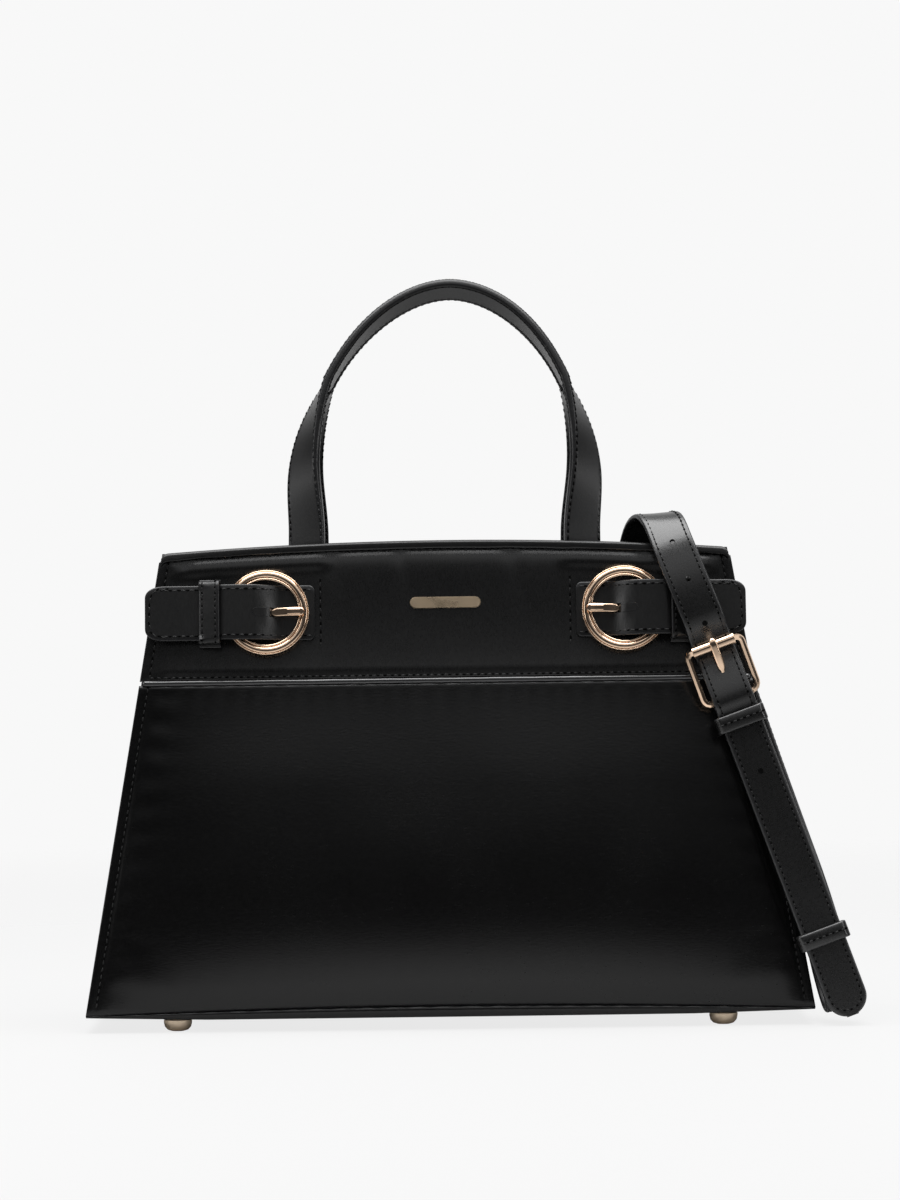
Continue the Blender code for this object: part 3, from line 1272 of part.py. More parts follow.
def hook_pieces(word, side, bar):
    """A swivel hook: a wire loop with a sprung gate, a shank, and an eye for the strap's end."""
    centre = hook_centre(side)

    def on_loop(degrees, inset=0.0):
        turn = math.radians(degrees)
        radius = HOOK_LOOP_RADIUS - inset
        return centre + Vector((side * radius * math.cos(turn), 0, radius * math.sin(turn)))

    swivel = centre - Vector((0, 0, HOOK_LENGTH))
    path = [swivel + Vector((0, 0, 0.0010)), centre - Vector((0, 0, HOOK_LOOP_RADIUS + 0.0018))]
    path += [on_loop(-75 + 255 * step / 15) for step in range(16)]
    across = [Vector((0, 1, 0))] * len(path)
    body = sweep(f"{word}_hook", path, across, lambda _: round_section(HOOK_WIRE_RADIUS), GOLD_METAL)
    head = -2 * (EYE_WIRE_RADIUS + SEAM_GAP)
    profile = [
        (0.0018, head - 0.0009),
        (0.0018, head),
        (PIN_RADIUS, head + 0.0001),
        (PIN_RADIUS, -0.0001),
        (0.0029, 0.0),
        (0.0029, 0.0035),
        (0.0020, 0.0048),
    ]
    join_with(body, turned(f"{word}_hook_collar", swivel, profile, GOLD_METAL))

    # The gate's free end lies inside the hook's point, so it can only swing inwards
    gate_radius = HOOK_WIRE_RADIUS * 0.8
    tuck = HOOK_WIRE_RADIUS + gate_radius + SEAM_GAP
    gate_path = []
    for step in range(9):
        share = step / 8
        degrees = GATE_FREE_END + (GATE_HINGE - GATE_FREE_END) * share
        gate_path.append(on_loop(degrees, tuck * (1 - share) ** 1.5))
    across = [Vector((0, 1, 0))] * len(gate_path)
    section = round_section(gate_radius)
    sweep(f"{word}_hook_gate", gate_path, across, lambda _: section, GOLD_METAL, origin=gate_path[-1])

    top = eye_top(side)
    half = EYE_WIDTH / 2
    corner = 0.002
    loop = []
    for start, y, z in ((0, 1, 0), (90, -1, 0), (180, -1, -1), (270, 1, -1)):
        for step in range(3):
            turn = math.radians(start + 45 * step)
            height = -corner if z == 0 else -EYE_HEIGHT + corner
            beside = y * (half - corner) + corner * math.cos(turn)
            loop.append(top + Vector((0, beside, height + corner * math.sin(turn))))
    across = [Vector((1, 0, 0))] * len(loop)
    wire = round_section(EYE_WIRE_RADIUS)
    eye = sweep(f"{word}_swivel_eye", loop, across, lambda _: wire, GOLD_METAL, closed=True)
    deep = EYE_WIRE_RADIUS + SEAM_GAP * 0.4
    boss = turned(f"{word}_eye_boss", top, [(0.0024, -deep), (0.0024, deep)], GOLD_METAL)
    join_with(eye, boss)
    reach = Vector((0, 0, 0.004))
    hole = rod(f"{word}_eye_hole", top - reach, top + reach, PIN_RADIUS + SEAM_GAP, GOLD_METAL)
    cut_with(eye, hole)


def main():
    clear_scene()
    for word, side in (("front", -1), ("back", 1)):
        wall_pieces(word, side)
        handle_piece(word, side)
        handle_anchors(word, side)
    gusset_piece("left", -1)
    gusset_piece("right", 1)
    base, board, board_top = base_pieces()
    foot_pieces(base, board, board_top)
    lining_piece(board_top)
    plate_and_snaps()
    belt_pieces()
    tip_strap()
    buckle_strap()
    buckle_pieces()
    strap_keepers()
    hardware_pieces()


main()
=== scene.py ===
# %% [markdown]
# # A small structured tote bag
# This notebook dresses the imported model of a black tote: satin faux leather, patent
# piping, pale gold fittings and rows of black stitches. The imported model is the fixed
# frame. Each piece here lies where its node lies, and each moves with the same body, except
# the handles and their stitches, which are handed to no body.

# %% Load the frame
import json
import math

import bmesh
import bpy
from mathutils import Matrix, Vector, noise

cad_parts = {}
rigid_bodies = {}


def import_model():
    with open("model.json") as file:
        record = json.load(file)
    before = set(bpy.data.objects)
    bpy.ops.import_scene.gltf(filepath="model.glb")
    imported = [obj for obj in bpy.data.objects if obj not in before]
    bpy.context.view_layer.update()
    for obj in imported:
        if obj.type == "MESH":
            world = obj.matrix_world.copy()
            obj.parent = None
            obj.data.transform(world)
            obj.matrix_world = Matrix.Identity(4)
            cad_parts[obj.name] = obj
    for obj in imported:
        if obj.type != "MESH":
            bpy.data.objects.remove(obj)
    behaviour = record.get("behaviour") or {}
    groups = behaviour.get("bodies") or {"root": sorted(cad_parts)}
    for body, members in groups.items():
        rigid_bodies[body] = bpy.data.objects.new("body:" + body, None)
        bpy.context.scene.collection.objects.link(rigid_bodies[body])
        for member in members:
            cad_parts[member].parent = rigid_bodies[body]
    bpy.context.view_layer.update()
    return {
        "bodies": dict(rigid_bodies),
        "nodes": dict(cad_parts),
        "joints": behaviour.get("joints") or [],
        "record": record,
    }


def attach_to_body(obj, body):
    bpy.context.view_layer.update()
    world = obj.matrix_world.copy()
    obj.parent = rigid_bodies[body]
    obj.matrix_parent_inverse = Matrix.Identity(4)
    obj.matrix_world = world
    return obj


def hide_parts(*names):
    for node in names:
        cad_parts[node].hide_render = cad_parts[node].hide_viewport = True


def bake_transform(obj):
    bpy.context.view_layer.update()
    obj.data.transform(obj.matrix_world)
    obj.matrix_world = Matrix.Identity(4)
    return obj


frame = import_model()
BAG = "bag"
print("frame loaded:", len(frame["nodes"]), "nodes")

# %% [markdown]
# ## The camera
# The photograph was taken from straight ahead with a long lens: the lines of the sides
# hardly converge. The picture is turned by less than a degree, so the camera is rolled by
# as much. It comes first, because every later choice is judged through it.

# %% Camera
CAMERA_X = 0.00205
CAMERA_HEIGHT = 0.1796
CAMERA_DISTANCE = 2.0  # from the strap that hangs in front
FRONT_PLANE = -0.058
CAMERA_LENS = 139.6
CAMERA_SENSOR = 36.0
CAMERA_ROLL = math.radians(0.75)

camera_data = bpy.data.cameras.new("camera")
camera_data.lens = CAMERA_LENS
camera_data.sensor_width = CAMERA_SENSOR
camera_data.clip_end = 50
camera = bpy.data.objects.new("camera", camera_data)
bpy.context.scene.collection.objects.link(camera)
camera.location = (CAMERA_X, FRONT_PLANE - CAMERA_DISTANCE, CAMERA_HEIGHT)
turn = Matrix.Rotation(math.pi / 2, 4, "X") @ Matrix.Rotation(-CAMERA_ROLL, 4, "Z")
camera.rotation_euler = turn.to_euler()
bpy.context.scene.camera = camera
print("camera stands", CAMERA_DISTANCE, "m in front")

# %% [markdown]
# ## Small tools for shaders
# A material in Blender is a tree of nodes. These helpers add a node and wire it in one
# line, so that the cells below read as recipes.


# %% Shader helpers
def set_inputs(tree, node, inputs):
    """inputs maps a socket's name or number to a value or to another socket."""
    for key, value in inputs.items():
        socket = node.inputs[key]
        if isinstance(value, bpy.types.NodeSocket):
            tree.links.new(value, socket)
        else:
            socket.default_value = value


def add_node(tree, kind, inputs=None, **settings):
    node = tree.nodes.new(kind)
    for key, value in settings.items():
        setattr(node, key, value)
    set_inputs(tree, node, inputs or {})
    return node


def math_node(tree, operation, first, second=0.0, third=0.0, clamp=False):
    inputs = {0: first, 1: second, 2: third}
    return add_node(tree, "ShaderNodeMath", inputs, operation=operation, use_clamp=clamp).outputs[0]


def remap(tree, value, from_low, from_high, to_low=0.0, to_high=1.0):
    sockets = {0: value, 1: from_low, 2: from_high, 3: to_low, 4: to_high}
    return add_node(tree, "ShaderNodeMapRange", sockets).outputs[0]


def coordinates(tree, kind="Object"):
    return add_node(tree, "ShaderNodeTexCoord").outputs[kind]


def soft_noise(tree, place, scale, detail):
    inputs = {"Vector": place, "Scale": scale, "Detail": detail}
    return add_node(tree, "ShaderNodeTexNoise", inputs).outputs["Fac"]


def bumped(tree, height, strength, distance):
    inputs = {"Strength": strength, "Distance": distance, "Height": height}
    return add_node(tree, "ShaderNodeBump", inputs).outputs[0]


def mix_colours(tree, share, low, high):
    return add_node(tree, "ShaderNodeMix", {0: share, 6: low, 7: high}, data_type="RGBA").outputs[2]


def new_group(name, inputs, outputs, kind="ShaderNodeTree"):
    """A node group. inputs are name, kind and starting value, and outputs are name and kind."""
    group = bpy.data.node_groups.new(name, kind)
    for label, socket_kind, value in inputs:
        socket = group.interface.new_socket(label, in_out="INPUT", socket_type=socket_kind)
        if value is not None:
            socket.default_value = value
    for label, socket_kind in outputs:
        group.interface.new_socket(label, in_out="OUTPUT", socket_type=socket_kind)
    return group, group.nodes.new("NodeGroupInput").outputs, group.nodes.new("NodeGroupOutput")


def new_material(name):
    material = bpy.data.materials.new(name)
    material.use_nodes = True
    tree = material.node_tree
    return material, tree, tree.nodes["Principled BSDF"]


# %% [markdown]
# ## Leather grain
# Faux leather is a thin film pressed with a pattern of tiny cells. On this bag the lower
# panel shows fine lines that run sideways, and the straps show round pebbles. One group
# makes both: a cell pattern that can be stretched, and a slow change of tone and gloss.

# %% Grain group
FLOAT = "NodeSocketFloat"
VECTOR = "NodeSocketVector"
GEOMETRY = "NodeSocketGeometry"
GRAIN_DEPTH = 0.00006

grain_group, given, end = new_group(
    "pressed grain",
    [
        ("Vector", VECTOR, None),
        ("Cells per metre", FLOAT, 1400.0),
        ("Stretch", VECTOR, (1, 1, 1)),
        ("Depth", FLOAT, 0.3),
    ],
    [("Normal", VECTOR), ("Pits", FLOAT), ("Cloud", FLOAT)],
)
sockets = {0: given["Vector"], 1: given["Stretch"]}
stretched = add_node(grain_group, "ShaderNodeVectorMath", sockets, operation="MULTIPLY").outputs[0]
sockets = {"Vector": stretched, "Scale": given["Cells per metre"], "Randomness": 0.9}
pits = add_node(grain_group, "ShaderNodeTexVoronoi", sockets, feature="SMOOTH_F1").outputs["Distance"]
fine_scale = math_node(grain_group, "MULTIPLY", given["Cells per metre"], 0.45)
sockets = {"Vector": stretched, "Scale": fine_scale, "Detail": 4.0, "Roughness": 0.6}
fine = add_node(grain_group, "ShaderNodeTexNoise", sockets).outputs["Fac"]
height = math_node(grain_group, "MULTIPLY_ADD", fine, 0.8, pits)
normal = bumped(grain_group, height, given["Depth"], GRAIN_DEPTH)
cloud = soft_noise(grain_group, given["Vector"], 22.0, 3.0)
set_inputs(grain_group, end, {"Normal": normal, "Pits": pits, "Cloud": cloud})
print("grain group has", len(grain_group.nodes), "nodes")

# %% [markdown]
# ## Worn and painted edges
# The cut edges of straps are sealed with black paint, which is smoother than the face.
# The meshes below carry a number named edge, 1 on a painted edge and 0 on the face, and
# this group turns it into a mask that is a little uneven, as hand work is.

# %% Edge group
edge_group, given, end = new_group(
    "painted edge",
    [("Vector", VECTOR, None), ("Unevenness", FLOAT, 0.25)],
    [("Mask", FLOAT), ("Scuffs", FLOAT)],
)
edge = add_node(edge_group, "ShaderNodeAttribute", attribute_name="edge").outputs["Fac"]
ragged = soft_noise(edge_group, given["Vector"], 420.0, 2.0)
shift = math_node(edge_group, "MULTIPLY_ADD", ragged, given["Unevenness"], edge)
mask = remap(edge_group, shift, 0.55, 0.85)
scuffs = math_node(edge_group, "MULTIPLY", remap(edge_group, ragged, 0.62, 0.72), mask)
set_inputs(edge_group, end, {"Mask": mask, "Scuffs": scuffs})
print("edge group has", len(edge_group.nodes), "nodes")


# %% [markdown]
# ## Leather materials
# All leather on the bag is one black stock with a satin film. The grain differs: it
# runs sideways on the lower panel, upright on the yoke, and is pebbled on the straps.
# Tone, gloss and bump all come from the same two groups, each with its own values.
# The base tone also differs by piece, darkest on the lower panel and lightest on the
# handles: painted shade and painted light on one and the same leather.

# %% Leather
PAINT = (0.006, 0.006, 0.0065, 1)
PAINT_ROUGHNESS = 0.33
WORN = (0.05, 0.048, 0.046, 1)
EVEN_GRAIN = (1.0, 1.0, 1.0)


def leather(name, stretch, cells, depth, gloss, tone, by_surface=False, coat=0.08, shine=0.42):
    """by_surface lays the grain along the piece's own UV map instead of along the room's axes."""
    material, tree, shader = new_material(name)
    place = coordinates(tree, "UV" if by_surface else "Object")
    values = {"Vector": place, "Cells per metre": cells, "Stretch": stretch, "Depth": depth}
    grain = add_node(tree, "ShaderNodeGroup", values, node_tree=grain_group).outputs
    edges = add_node(tree, "ShaderNodeGroup", {"Vector": place}, node_tree=edge_group).outputs
    dark = (tone * 0.80, tone * 0.80, tone * 0.82, 1)
    light = (tone * 1.35, tone * 1.34, tone * 1.36, 1)
    mottled = mix_colours(tree, remap(tree, grain["Cloud"], 0.3, 0.7), dark, light)
    painted = mix_colours(tree, edges["Mask"], mottled, PAINT)
    scuffed = mix_colours(tree, math_node(tree, "MULTIPLY", edges["Scuffs"], 0.35), painted, WORN)
    pitted = remap(tree, grain["Pits"], 0.0, 0.9, gloss - 0.03, gloss + 0.07)
    clouded = math_node(tree, "MULTIPLY_ADD", grain["Cloud"], 0.08, math_node(tree, "SUBTRACT", pitted, 0.04))
    sockets = {0: edges["Mask"], 2: clouded, 3: PAINT_ROUGHNESS}
    sealed = add_node(tree, "ShaderNodeMix", sockets, data_type="FLOAT").outputs[0]
    set_inputs(tree, shader, {"Base Color": scuffed, "Roughness": sealed, "Normal": grain["Normal"]})
    set_inputs(tree, shader, {"Coat Weight": coat, "Coat Roughness": 0.30, "Specular IOR Level": shine})
    set_inputs(tree, shader, {"Sheen Weight": 0.004, "Sheen Roughness": 0.45})
    return material


# Base tones per piece are painted light and shade: the lower panel darkened, the binding a little less, the
# yoke, straps and belts lighter, the handles lightest.
PANEL_LEATHER = leather("panel leather", (0.35, 1.0, 1.0), 1500.0, 0.30, 0.22, 0.0015, shine=0.30)
YOKE_LEATHER = leather("yoke leather", (1.0, 1.0, 0.35), 1500.0, 0.28, 0.27, 0.0035)
STRAP_LEATHER = leather("strap leather", EVEN_GRAIN, 1300.0, 0.25, 0.27, 0.0034, True, coat=0.15, shine=0.66)
HANDLE_LEATHER = leather("handle leather", EVEN_GRAIN, 1300.0, 0.35, 0.42, 0.0065, True)
BELT_LEATHER = leather("belt leather", (1.0, 0.4, 1.0), 1400.0, 0.35, 0.34, 0.0036, True)
EDGE_LEATHER = leather("binding leather", (0.5, 1.0, 1.0), 1500.0, 0.25, 0.32, 0.0024)
print("leathers:", [m.name for m in bpy.data.materials if m.name.endswith("leather")])

# %% [markdown]
# ## Patent piping, thread, board and lining
# The piping is lacquered, so it mirrors like glass. The thread is waxed and twisted, each
# needle hole is a near-black blob of painted shade, and the stiffener is pressed fibre
# board: each is two tones mixed by a noise. The lining's weave is two crossed waves, for
# warp and weft, at 0.5 mm a thread.


# %% Other soft materials
def speckled(name, scale, detail, tones, roughness, bump=None, coat=0.0, shine=0.5):
    """A noise mixes two tones. bump is a strength and a distance. roughness can be a range."""
    material, tree, shader = new_material(name)
    grain = soft_noise(tree, coordinates(tree), scale, detail)
    if isinstance(roughness, tuple):
        roughness = remap(tree, grain, 0.3, 0.7, *roughness)
    set_inputs(tree, shader, {"Base Color": mix_colours(tree, grain, *tones), "Roughness": roughness})
    set_inputs(tree, shader, {"Specular IOR Level": shine, "Coat Weight": coat})
    if coat:
        set_inputs(tree, shader, {"Coat Roughness": 0.06})
    if bump:
        set_inputs(tree, shader, {"Normal": bumped(tree, grain, *bump)})
    return material


PATENT_TONES = ((0.006, 0.006, 0.007, 1), (0.012, 0.012, 0.013, 1))
THREAD_TONES = ((0.003, 0.003, 0.003, 1), (0.009, 0.009, 0.0095, 1))
HOLE_SHADE_TONES = ((0.0006, 0.0006, 0.0006, 1), (0.002, 0.002, 0.002, 1))
BOARD_TONES = ((0.03, 0.028, 0.026, 1), (0.08, 0.075, 0.07, 1))
CLOTH_TONES = ((0.012, 0.012, 0.014, 1), (0.045, 0.044, 0.048, 1))
THREADS_PER_METRE = 2000.0


def woven_cloth():
    material, tree, shader = new_material("lining cloth")
    place = coordinates(tree, "UV")
    parts = add_node(tree, "ShaderNodeSeparateXYZ", {0: place})
    waves = []
    for axis in ("X", "Y"):
        phase = math_node(tree, "MULTIPLY", parts.outputs[axis], math.pi * THREADS_PER_METRE)
        waves.append(math_node(tree, "ABSOLUTE", math_node(tree, "SINE", phase)))
    weave = math_node(tree, "MAXIMUM", waves[0], waves[1])
    slubs = soft_noise(tree, place, 90.0, 3.0)
    tone = mix_colours(tree, math_node(tree, "MULTIPLY", weave, slubs), *CLOTH_TONES)
    set_inputs(tree, shader, {"Base Color": tone, "Roughness": remap(tree, slubs, 0.2, 0.8, 0.70, 0.85)})
    set_inputs(tree, shader, {"Normal": bumped(tree, weave, 0.5, 0.0002), "Sheen Weight": 0.25})
    return material


PATENT = speckled("patent leather", 150.0, 2.0, PATENT_TONES, (0.10, 0.20), bump=(0.25, 0.0003), coat=0.8)
THREAD = speckled("waxed thread", 2600.0, 2.0, THREAD_TONES, 0.40, bump=(0.5, 0.0001), shine=0.32)
# Near-black, matt and almost without gloss: painted shade for the needle hole under each stitch.
NEEDLE_HOLE_SHADE = speckled("needle hole shade", 900.0, 1.0, HOLE_SHADE_TONES, 0.9, shine=0.05)
CLOTH = woven_cloth()
BOARD = speckled("fibre board", 600.0, 4.0, BOARD_TONES, 0.85)
print("soft materials ready")


# %% [markdown]
# ## Pale gold metal
# The fittings are cast zinc with a thin plating of pale, slightly rosy gold. Plating is
# very smooth, but fingers leave a soft haze on it and polishing leaves faint lines, so
# the roughness is a slow cloud and the bump a very shallow scratch pattern.


# %% Metal colours
def plated_metal(name, colour, low_gloss, high_gloss, metallic=1.0):
    material, tree, shader = new_material(name)
    place = coordinates(tree)
    haze = soft_noise(tree, place, 130.0, 4.0)
    lines = soft_noise(tree, place, 1800.0, 2.0)
    warm = tuple(c * 0.93 for c in colour)
    tone = mix_colours(tree, haze, warm + (1,), colour + (1,))
    roughness = remap(tree, haze, 0.3, 0.7, low_gloss, high_gloss)
    set_inputs(tree, shader, {"Base Color": tone, "Roughness": roughness, "Metallic": metallic})
    set_inputs(tree, shader, {"Normal": bumped(tree, lines, 0.03, 0.00005)})
    return material


GOLD = plated_metal("pale gold", (0.93, 0.68, 0.49), 0.09, 0.16)
BRUSHED_GOLD = plated_metal("matt gold", (0.90, 0.70, 0.48), 0.24, 0.34)
# The feet's gold is lighter and partly diffuse: painted light that keeps them bright in the bag's shade. Its
# higher roughness is the feet's real matt finish.
LIT_SATIN_GOLD = plated_metal("lit satin gold", (1.0, 0.81, 0.60), 0.42, 0.52, metallic=0.55)
print("metal ready")

# %% [markdown]
# ## The shape of the shell
# The bag is a trapezoid that gets narrower and thinner towards the rim. Its front and back
# swell a little, most at a quarter of the height, and its rim and its base edge are gently
# arched. All of that is a few formulas, in metres, which every later piece refers to.

# %% Shell formulas
BASE_WIDTH, TOP_WIDTH = 0.315, 0.2468
BASE_DEPTH, TOP_DEPTH = 0.112, 0.076
SIDE_HEIGHT = 0.2012
TOP_ARCH = 0.0045
BULGE = 0.010
PIPING_HEIGHT = 0.145
PIPING_RADIUS = 0.0013
PANEL_THICKNESS = 0.0018
YOKE_THICKNESS = 0.0024
BINDING_THICKNESS = 0.0008
BINDING_DEPTH = 0.0035
SEAM_GAP = 0.0003
FLANGE_WIDTH = 0.008
GUSSET_THICKNESS = 0.0014
GUSSET_BOW = 0.006
GUSSET_DROP = 0.005
LINING_THICKNESS = 0.0009
BASE_THICKNESS = 0.002
BASE_CURL = 0.0032
BASE_EDGE_RISE = 0.0022
SIDES = (("left", -1), ("right", 1))
FACES = (("front", -1), ("back", 1))


def ease(value, start, end):
    """0 before the start, 1 after the end, and a smooth step between them."""
    share = min(max((value - start) / (end - start), 0.0), 1.0)
    return share * share * (3 - 2 * share)


def spread(start, end, count):
    """Even steps from start to end, with both ends."""
    return [start + (end - start) * step / count for step in range(count + 1)]


def circle(count):
    return [2 * math.pi * step / count for step in range(count)]


def crowded(share, power):
    """Shares from -1 to 1, set closer together towards the ends."""
    return math.copysign(1 - (1 - abs(share)) ** power, share)


def hump(value, centre, width):
    return math.exp(-(((value - centre) / width) ** 2))


def half_width(z):
    return (BASE_WIDTH + (TOP_WIDTH - BASE_WIDTH) * z / SIDE_HEIGHT) / 2


def half_depth(z):
    return (BASE_DEPTH + (TOP_DEPTH - BASE_DEPTH) * z / SIDE_HEIGHT) / 2


def face_depth(x, z):
    """Distance of the leather's outside from the middle plane, for the front and the back."""
    up = min(max(z / (SIDE_HEIGHT + TOP_ARCH), 0.0), 1.0)
    rise = up**0.8 * (1 - up) ** 2.4 / (0.25**0.8 * 0.75**2.4)
    across = min(abs(x) / half_width(z), 1.0)
    return half_depth(z) + BULGE * rise * (1 - across**4)


def rim_height(x):
    return SIDE_HEIGHT + TOP_ARCH * (1 - (2 * x / TOP_WIDTH) ** 2)


def seam_height(x):
    return BASE_EDGE_RISE + BASE_CURL * (1 - (2 * x / BASE_WIDTH) ** 2)


def out_of_face(x, z, side):
    """The direction straight out of the front (side -1) or the back (side 1)."""
    step = 0.002
    slope_x = (face_depth(x + step, z) - face_depth(x - step, z)) / (2 * step)
    slope_z = (face_depth(x, z + step) - face_depth(x, z - step)) / (2 * step)
    return Vector((-slope_x, side, -slope_z)).normalized()


print("rim stands", round(1000 * rim_height(0), 1), "mm over the base")

# %% [markdown]
# ## Meshes with a leather's two coordinates
# A sheet is two grids of points, outside and inside, joined round their rim. A band is one
# section carried along a path. Both get a UV map measured in metres, so that grain and weave
# keep their true size, and a number named edge for the painted edges.


# %% Mesh helpers
def new_object(name, data):
    obj = bpy.data.objects.new(name, data)
    bpy.context.scene.collection.objects.link(obj)
    return obj


def finish_mesh(name, points, faces, corners, material, edges):
    mesh = bpy.data.meshes.new(name)
    mesh.from_pydata([tuple(point) for point in points], [], faces)
    flat = [value for corner in corners for uv in corner for value in uv]
    mesh.uv_layers.new(name="UVMap").data.foreach_set("uv", flat)
    mesh.attributes.new("edge", "FLOAT", "POINT").data.foreach_set("value", edges)
    mesh.materials.append(material)
    mesh.shade_smooth()
    return new_object(name, mesh)


def turn_outwards(obj):
    """Makes every face look out of the closed body."""
    shape = bmesh.new()
    shape.from_mesh(obj.data)
    bmesh.ops.recalc_face_normals(shape, faces=shape.faces)
    shape.to_mesh(obj.data)
    shape.free()
    return obj


def running_length(points):
    lengths = [0.0]
    for before, after in zip(points, points[1:]):
        lengths.append(lengths[-1] + (Vector(after) - Vector(before)).length)
    return lengths


def sheet(name, outer, inner, material):
    """A closed sheet between two grids of points with the same rows and columns."""
    rows, columns = len(outer), len(outer[0])
    count = rows * columns
    points = [point for grid in (outer, inner) for row in grid for point in row]
    up = running_length([row[columns // 2] for row in outer])
    along = [running_length(row) for row in outer]
    middles = [line[columns // 2] for line in along]
    uv = [(along[r][c] - middles[r], up[r]) for r in range(rows) for c in range(columns)] * 2
    faces = []
    for r in range(rows - 1):
        for c in range(columns - 1):
            a = r * columns + c
            quad = (a, a + 1, a + 1 + columns, a + columns)
            faces.append(quad)
            faces.append(tuple(count + i for i in reversed(quad)))
    rim = [(0, c) for c in range(columns)] + [(r, columns - 1) for r in range(1, rows)]
    rim += [(rows - 1, c) for c in range(columns - 2, -1, -1)] + [(r, 0) for r in range(rows - 2, 0, -1)]
    rim = [r * columns + c for r, c in rim]
    for here, beside in zip(rim, rim[1:] + rim[:1]):
        faces.append((beside, here, here + count, beside + count))
    border = set(rim)
    edges = [1.0 if i % count in border else 0.0 for i in range(2 * count)]
    corners = [[uv[i] for i in face] for face in faces]
    return turn_outwards(finish_mesh(name, points, faces, corners, material, edges))


def skin(name, rings, material, edge_of=None, closed=False):
    """A skin over rings of equal count. edge_of holds the edge value of each point of a ring."""
    columns = len(rings[0])
    points = [point for ring in rings for point in ring]
    centres = [sum((Vector(p) for p in ring), Vector()) / columns for ring in rings]
    along = running_length(centres + [centres[0]])
    around = [running_length(list(ring) + [ring[0]]) for ring in rings]
    faces, corners = [], []
    spans = len(rings) if closed else len(rings) - 1
    for r in range(spans):
        after = (r + 1) % len(rings)
        for c in range(columns):
            beside = (c + 1) % columns
            here, there = r * columns, after * columns
            faces.append((here + c, here + beside, there + beside, there + c))
            near, far = around[r], around[after]
            low, high = along[r], along[r + 1]
            corners.append([(low, near[c]), (low, near[c + 1]), (high, far[c + 1]), (high, far[c])])
    if not closed:
        last = (len(rings) - 1) * columns
        faces.append(tuple(reversed(range(columns))))
        corners.append([(along[0], around[0][c]) for c in reversed(range(columns))])
        faces.append(tuple(range(last, last + columns)))
        corners.append([(along[-2], around[-1][c]) for c in range(columns)])
    ring_edges = edge_of or [0.0] * columns
    edges = list(ring_edges) * len(rings)
    if not closed:
        edges[:columns] = [1.0] * columns
        edges[-columns:] = [1.0] * columns
    return turn_outwards(finish_mesh(name, points, faces, corners, material, edges))


def smooth_path(points, steps):
    """A Catmull-Rom curve through the points, with so many steps in each span."""
    path = []
    held = [points[0]] + list(points) + [points[-1]]
    for before, start, end, after in zip(held, held[1:], held[2:], held[3:]):
        for step in range(steps):
            t = step / steps
            linear = (end - before) * t
            square = (2 * before - 5 * start + 4 * end - after) * t**2
            cube = (3 * start - before - 3 * end + after) * t**3
            path.append(0.5 * (2 * start + linear + square + cube))
    path.append(points[-1].copy())
    return path


def tangents_of(path, closed=False):
    found = []
    for index in range(len(path)):
        if closed:
            ahead, behind = path[(index + 1) % len(path)], path[index - 1]
        else:
            ahead, behind = path[min(index + 1, len(path) - 1)], path[max(index - 1, 0)]
        found.append((ahead - behind).normalized())
    return found


ROUND_STEPS = 3  # points on each rounded edge of a strap
FACE_STEPS = 12  # spans over a strap's face


def strap_section(width, thickness, rounding=0.36):
    """A strap's outline with rounded edges. Each point is across, out and its edge value."""
    ease_by = thickness * rounding
    half, deep = width / 2 - ease_by, thickness / 2 - ease_by
    outline = []
    for across, out, start in ((1, 1, 0), (-1, 1, 90), (-1, -1, 180), (1, -1, 270)):
        for step in range(ROUND_STEPS + 1):
            turn = math.radians(start + 90 * step / ROUND_STEPS)
            point = (across * half + ease_by * math.cos(turn), out * deep + ease_by * math.sin(turn))
            outline.append((*point, 1.0))
        if start in (0, 180):
            for step in range(1, FACE_STEPS):
                share = step / FACE_STEPS
                outline.append((across * half * (1 - 2 * share), out * (deep + ease_by), 0.0))
    return outline


def frames_of(path, across, closed=False):
    """For each point of the path, its width direction and its outward direction."""
    frames = []
    for index, tangent in enumerate(tangents_of(path, closed)):
        wide = across[index]
        wide = (wide - wide.dot(tangent) * tangent).normalized()
        frames.append((wide, tangent.cross(wide)))
    return frames


def band(name, path, across, width_at, thick_at, material, closed=False):
    """A strap with rounded, painted edges along a path."""
    rings = []
    edge_values = None
    for index, (wide, out) in enumerate(frames_of(path, across, closed)):
        outline = strap_section(width_at(index), thick_at(index))
        rings.append([path[index] + wide * a + out * b for a, b, _ in outline])
        edge_values = [edge for _, _, edge in outline]
    return skin(name, rings, material, edge_values, closed)


def tube(name, path, across, radius_at, material, sides=16):
    rings = []
    for index, (wide, out) in enumerate(frames_of(path, across)):
        radius = radius_at(index)
        turns = [(math.cos(turn), math.sin(turn)) for turn in circle(sides)]
        rings.append([path[index] + wide * radius * a + out * radius * b for a, b in turns])
    return skin(name, rings, material)


def sharpen(obj, degrees):
    obj.data.set_sharp_from_angle(angle=math.radians(degrees))


def attach(obj, body):
    """Hands over a piece that the frame has no node for."""
    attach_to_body(obj, body)


def dress(obj, *nodes, body=BAG):
    """Hands a finished piece to its body, in place of the frame's own nodes."""
    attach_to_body(obj, body)
    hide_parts(*nodes)
    return obj


print("mesh helpers ready")

# %% [markdown]
# ## Stitches
# A stitch is a short piece of waxed thread that dips into the leather at both ends. A saddle
# stitched row is one such piece repeated at an even pitch, which is what Geometry Nodes
# do well: a curve is cut at the pitch, and a small bead lies at each cut, turned to follow the
# curve and to look out of the leather. A seeded random roll keeps the row from looking
# like a machine part.

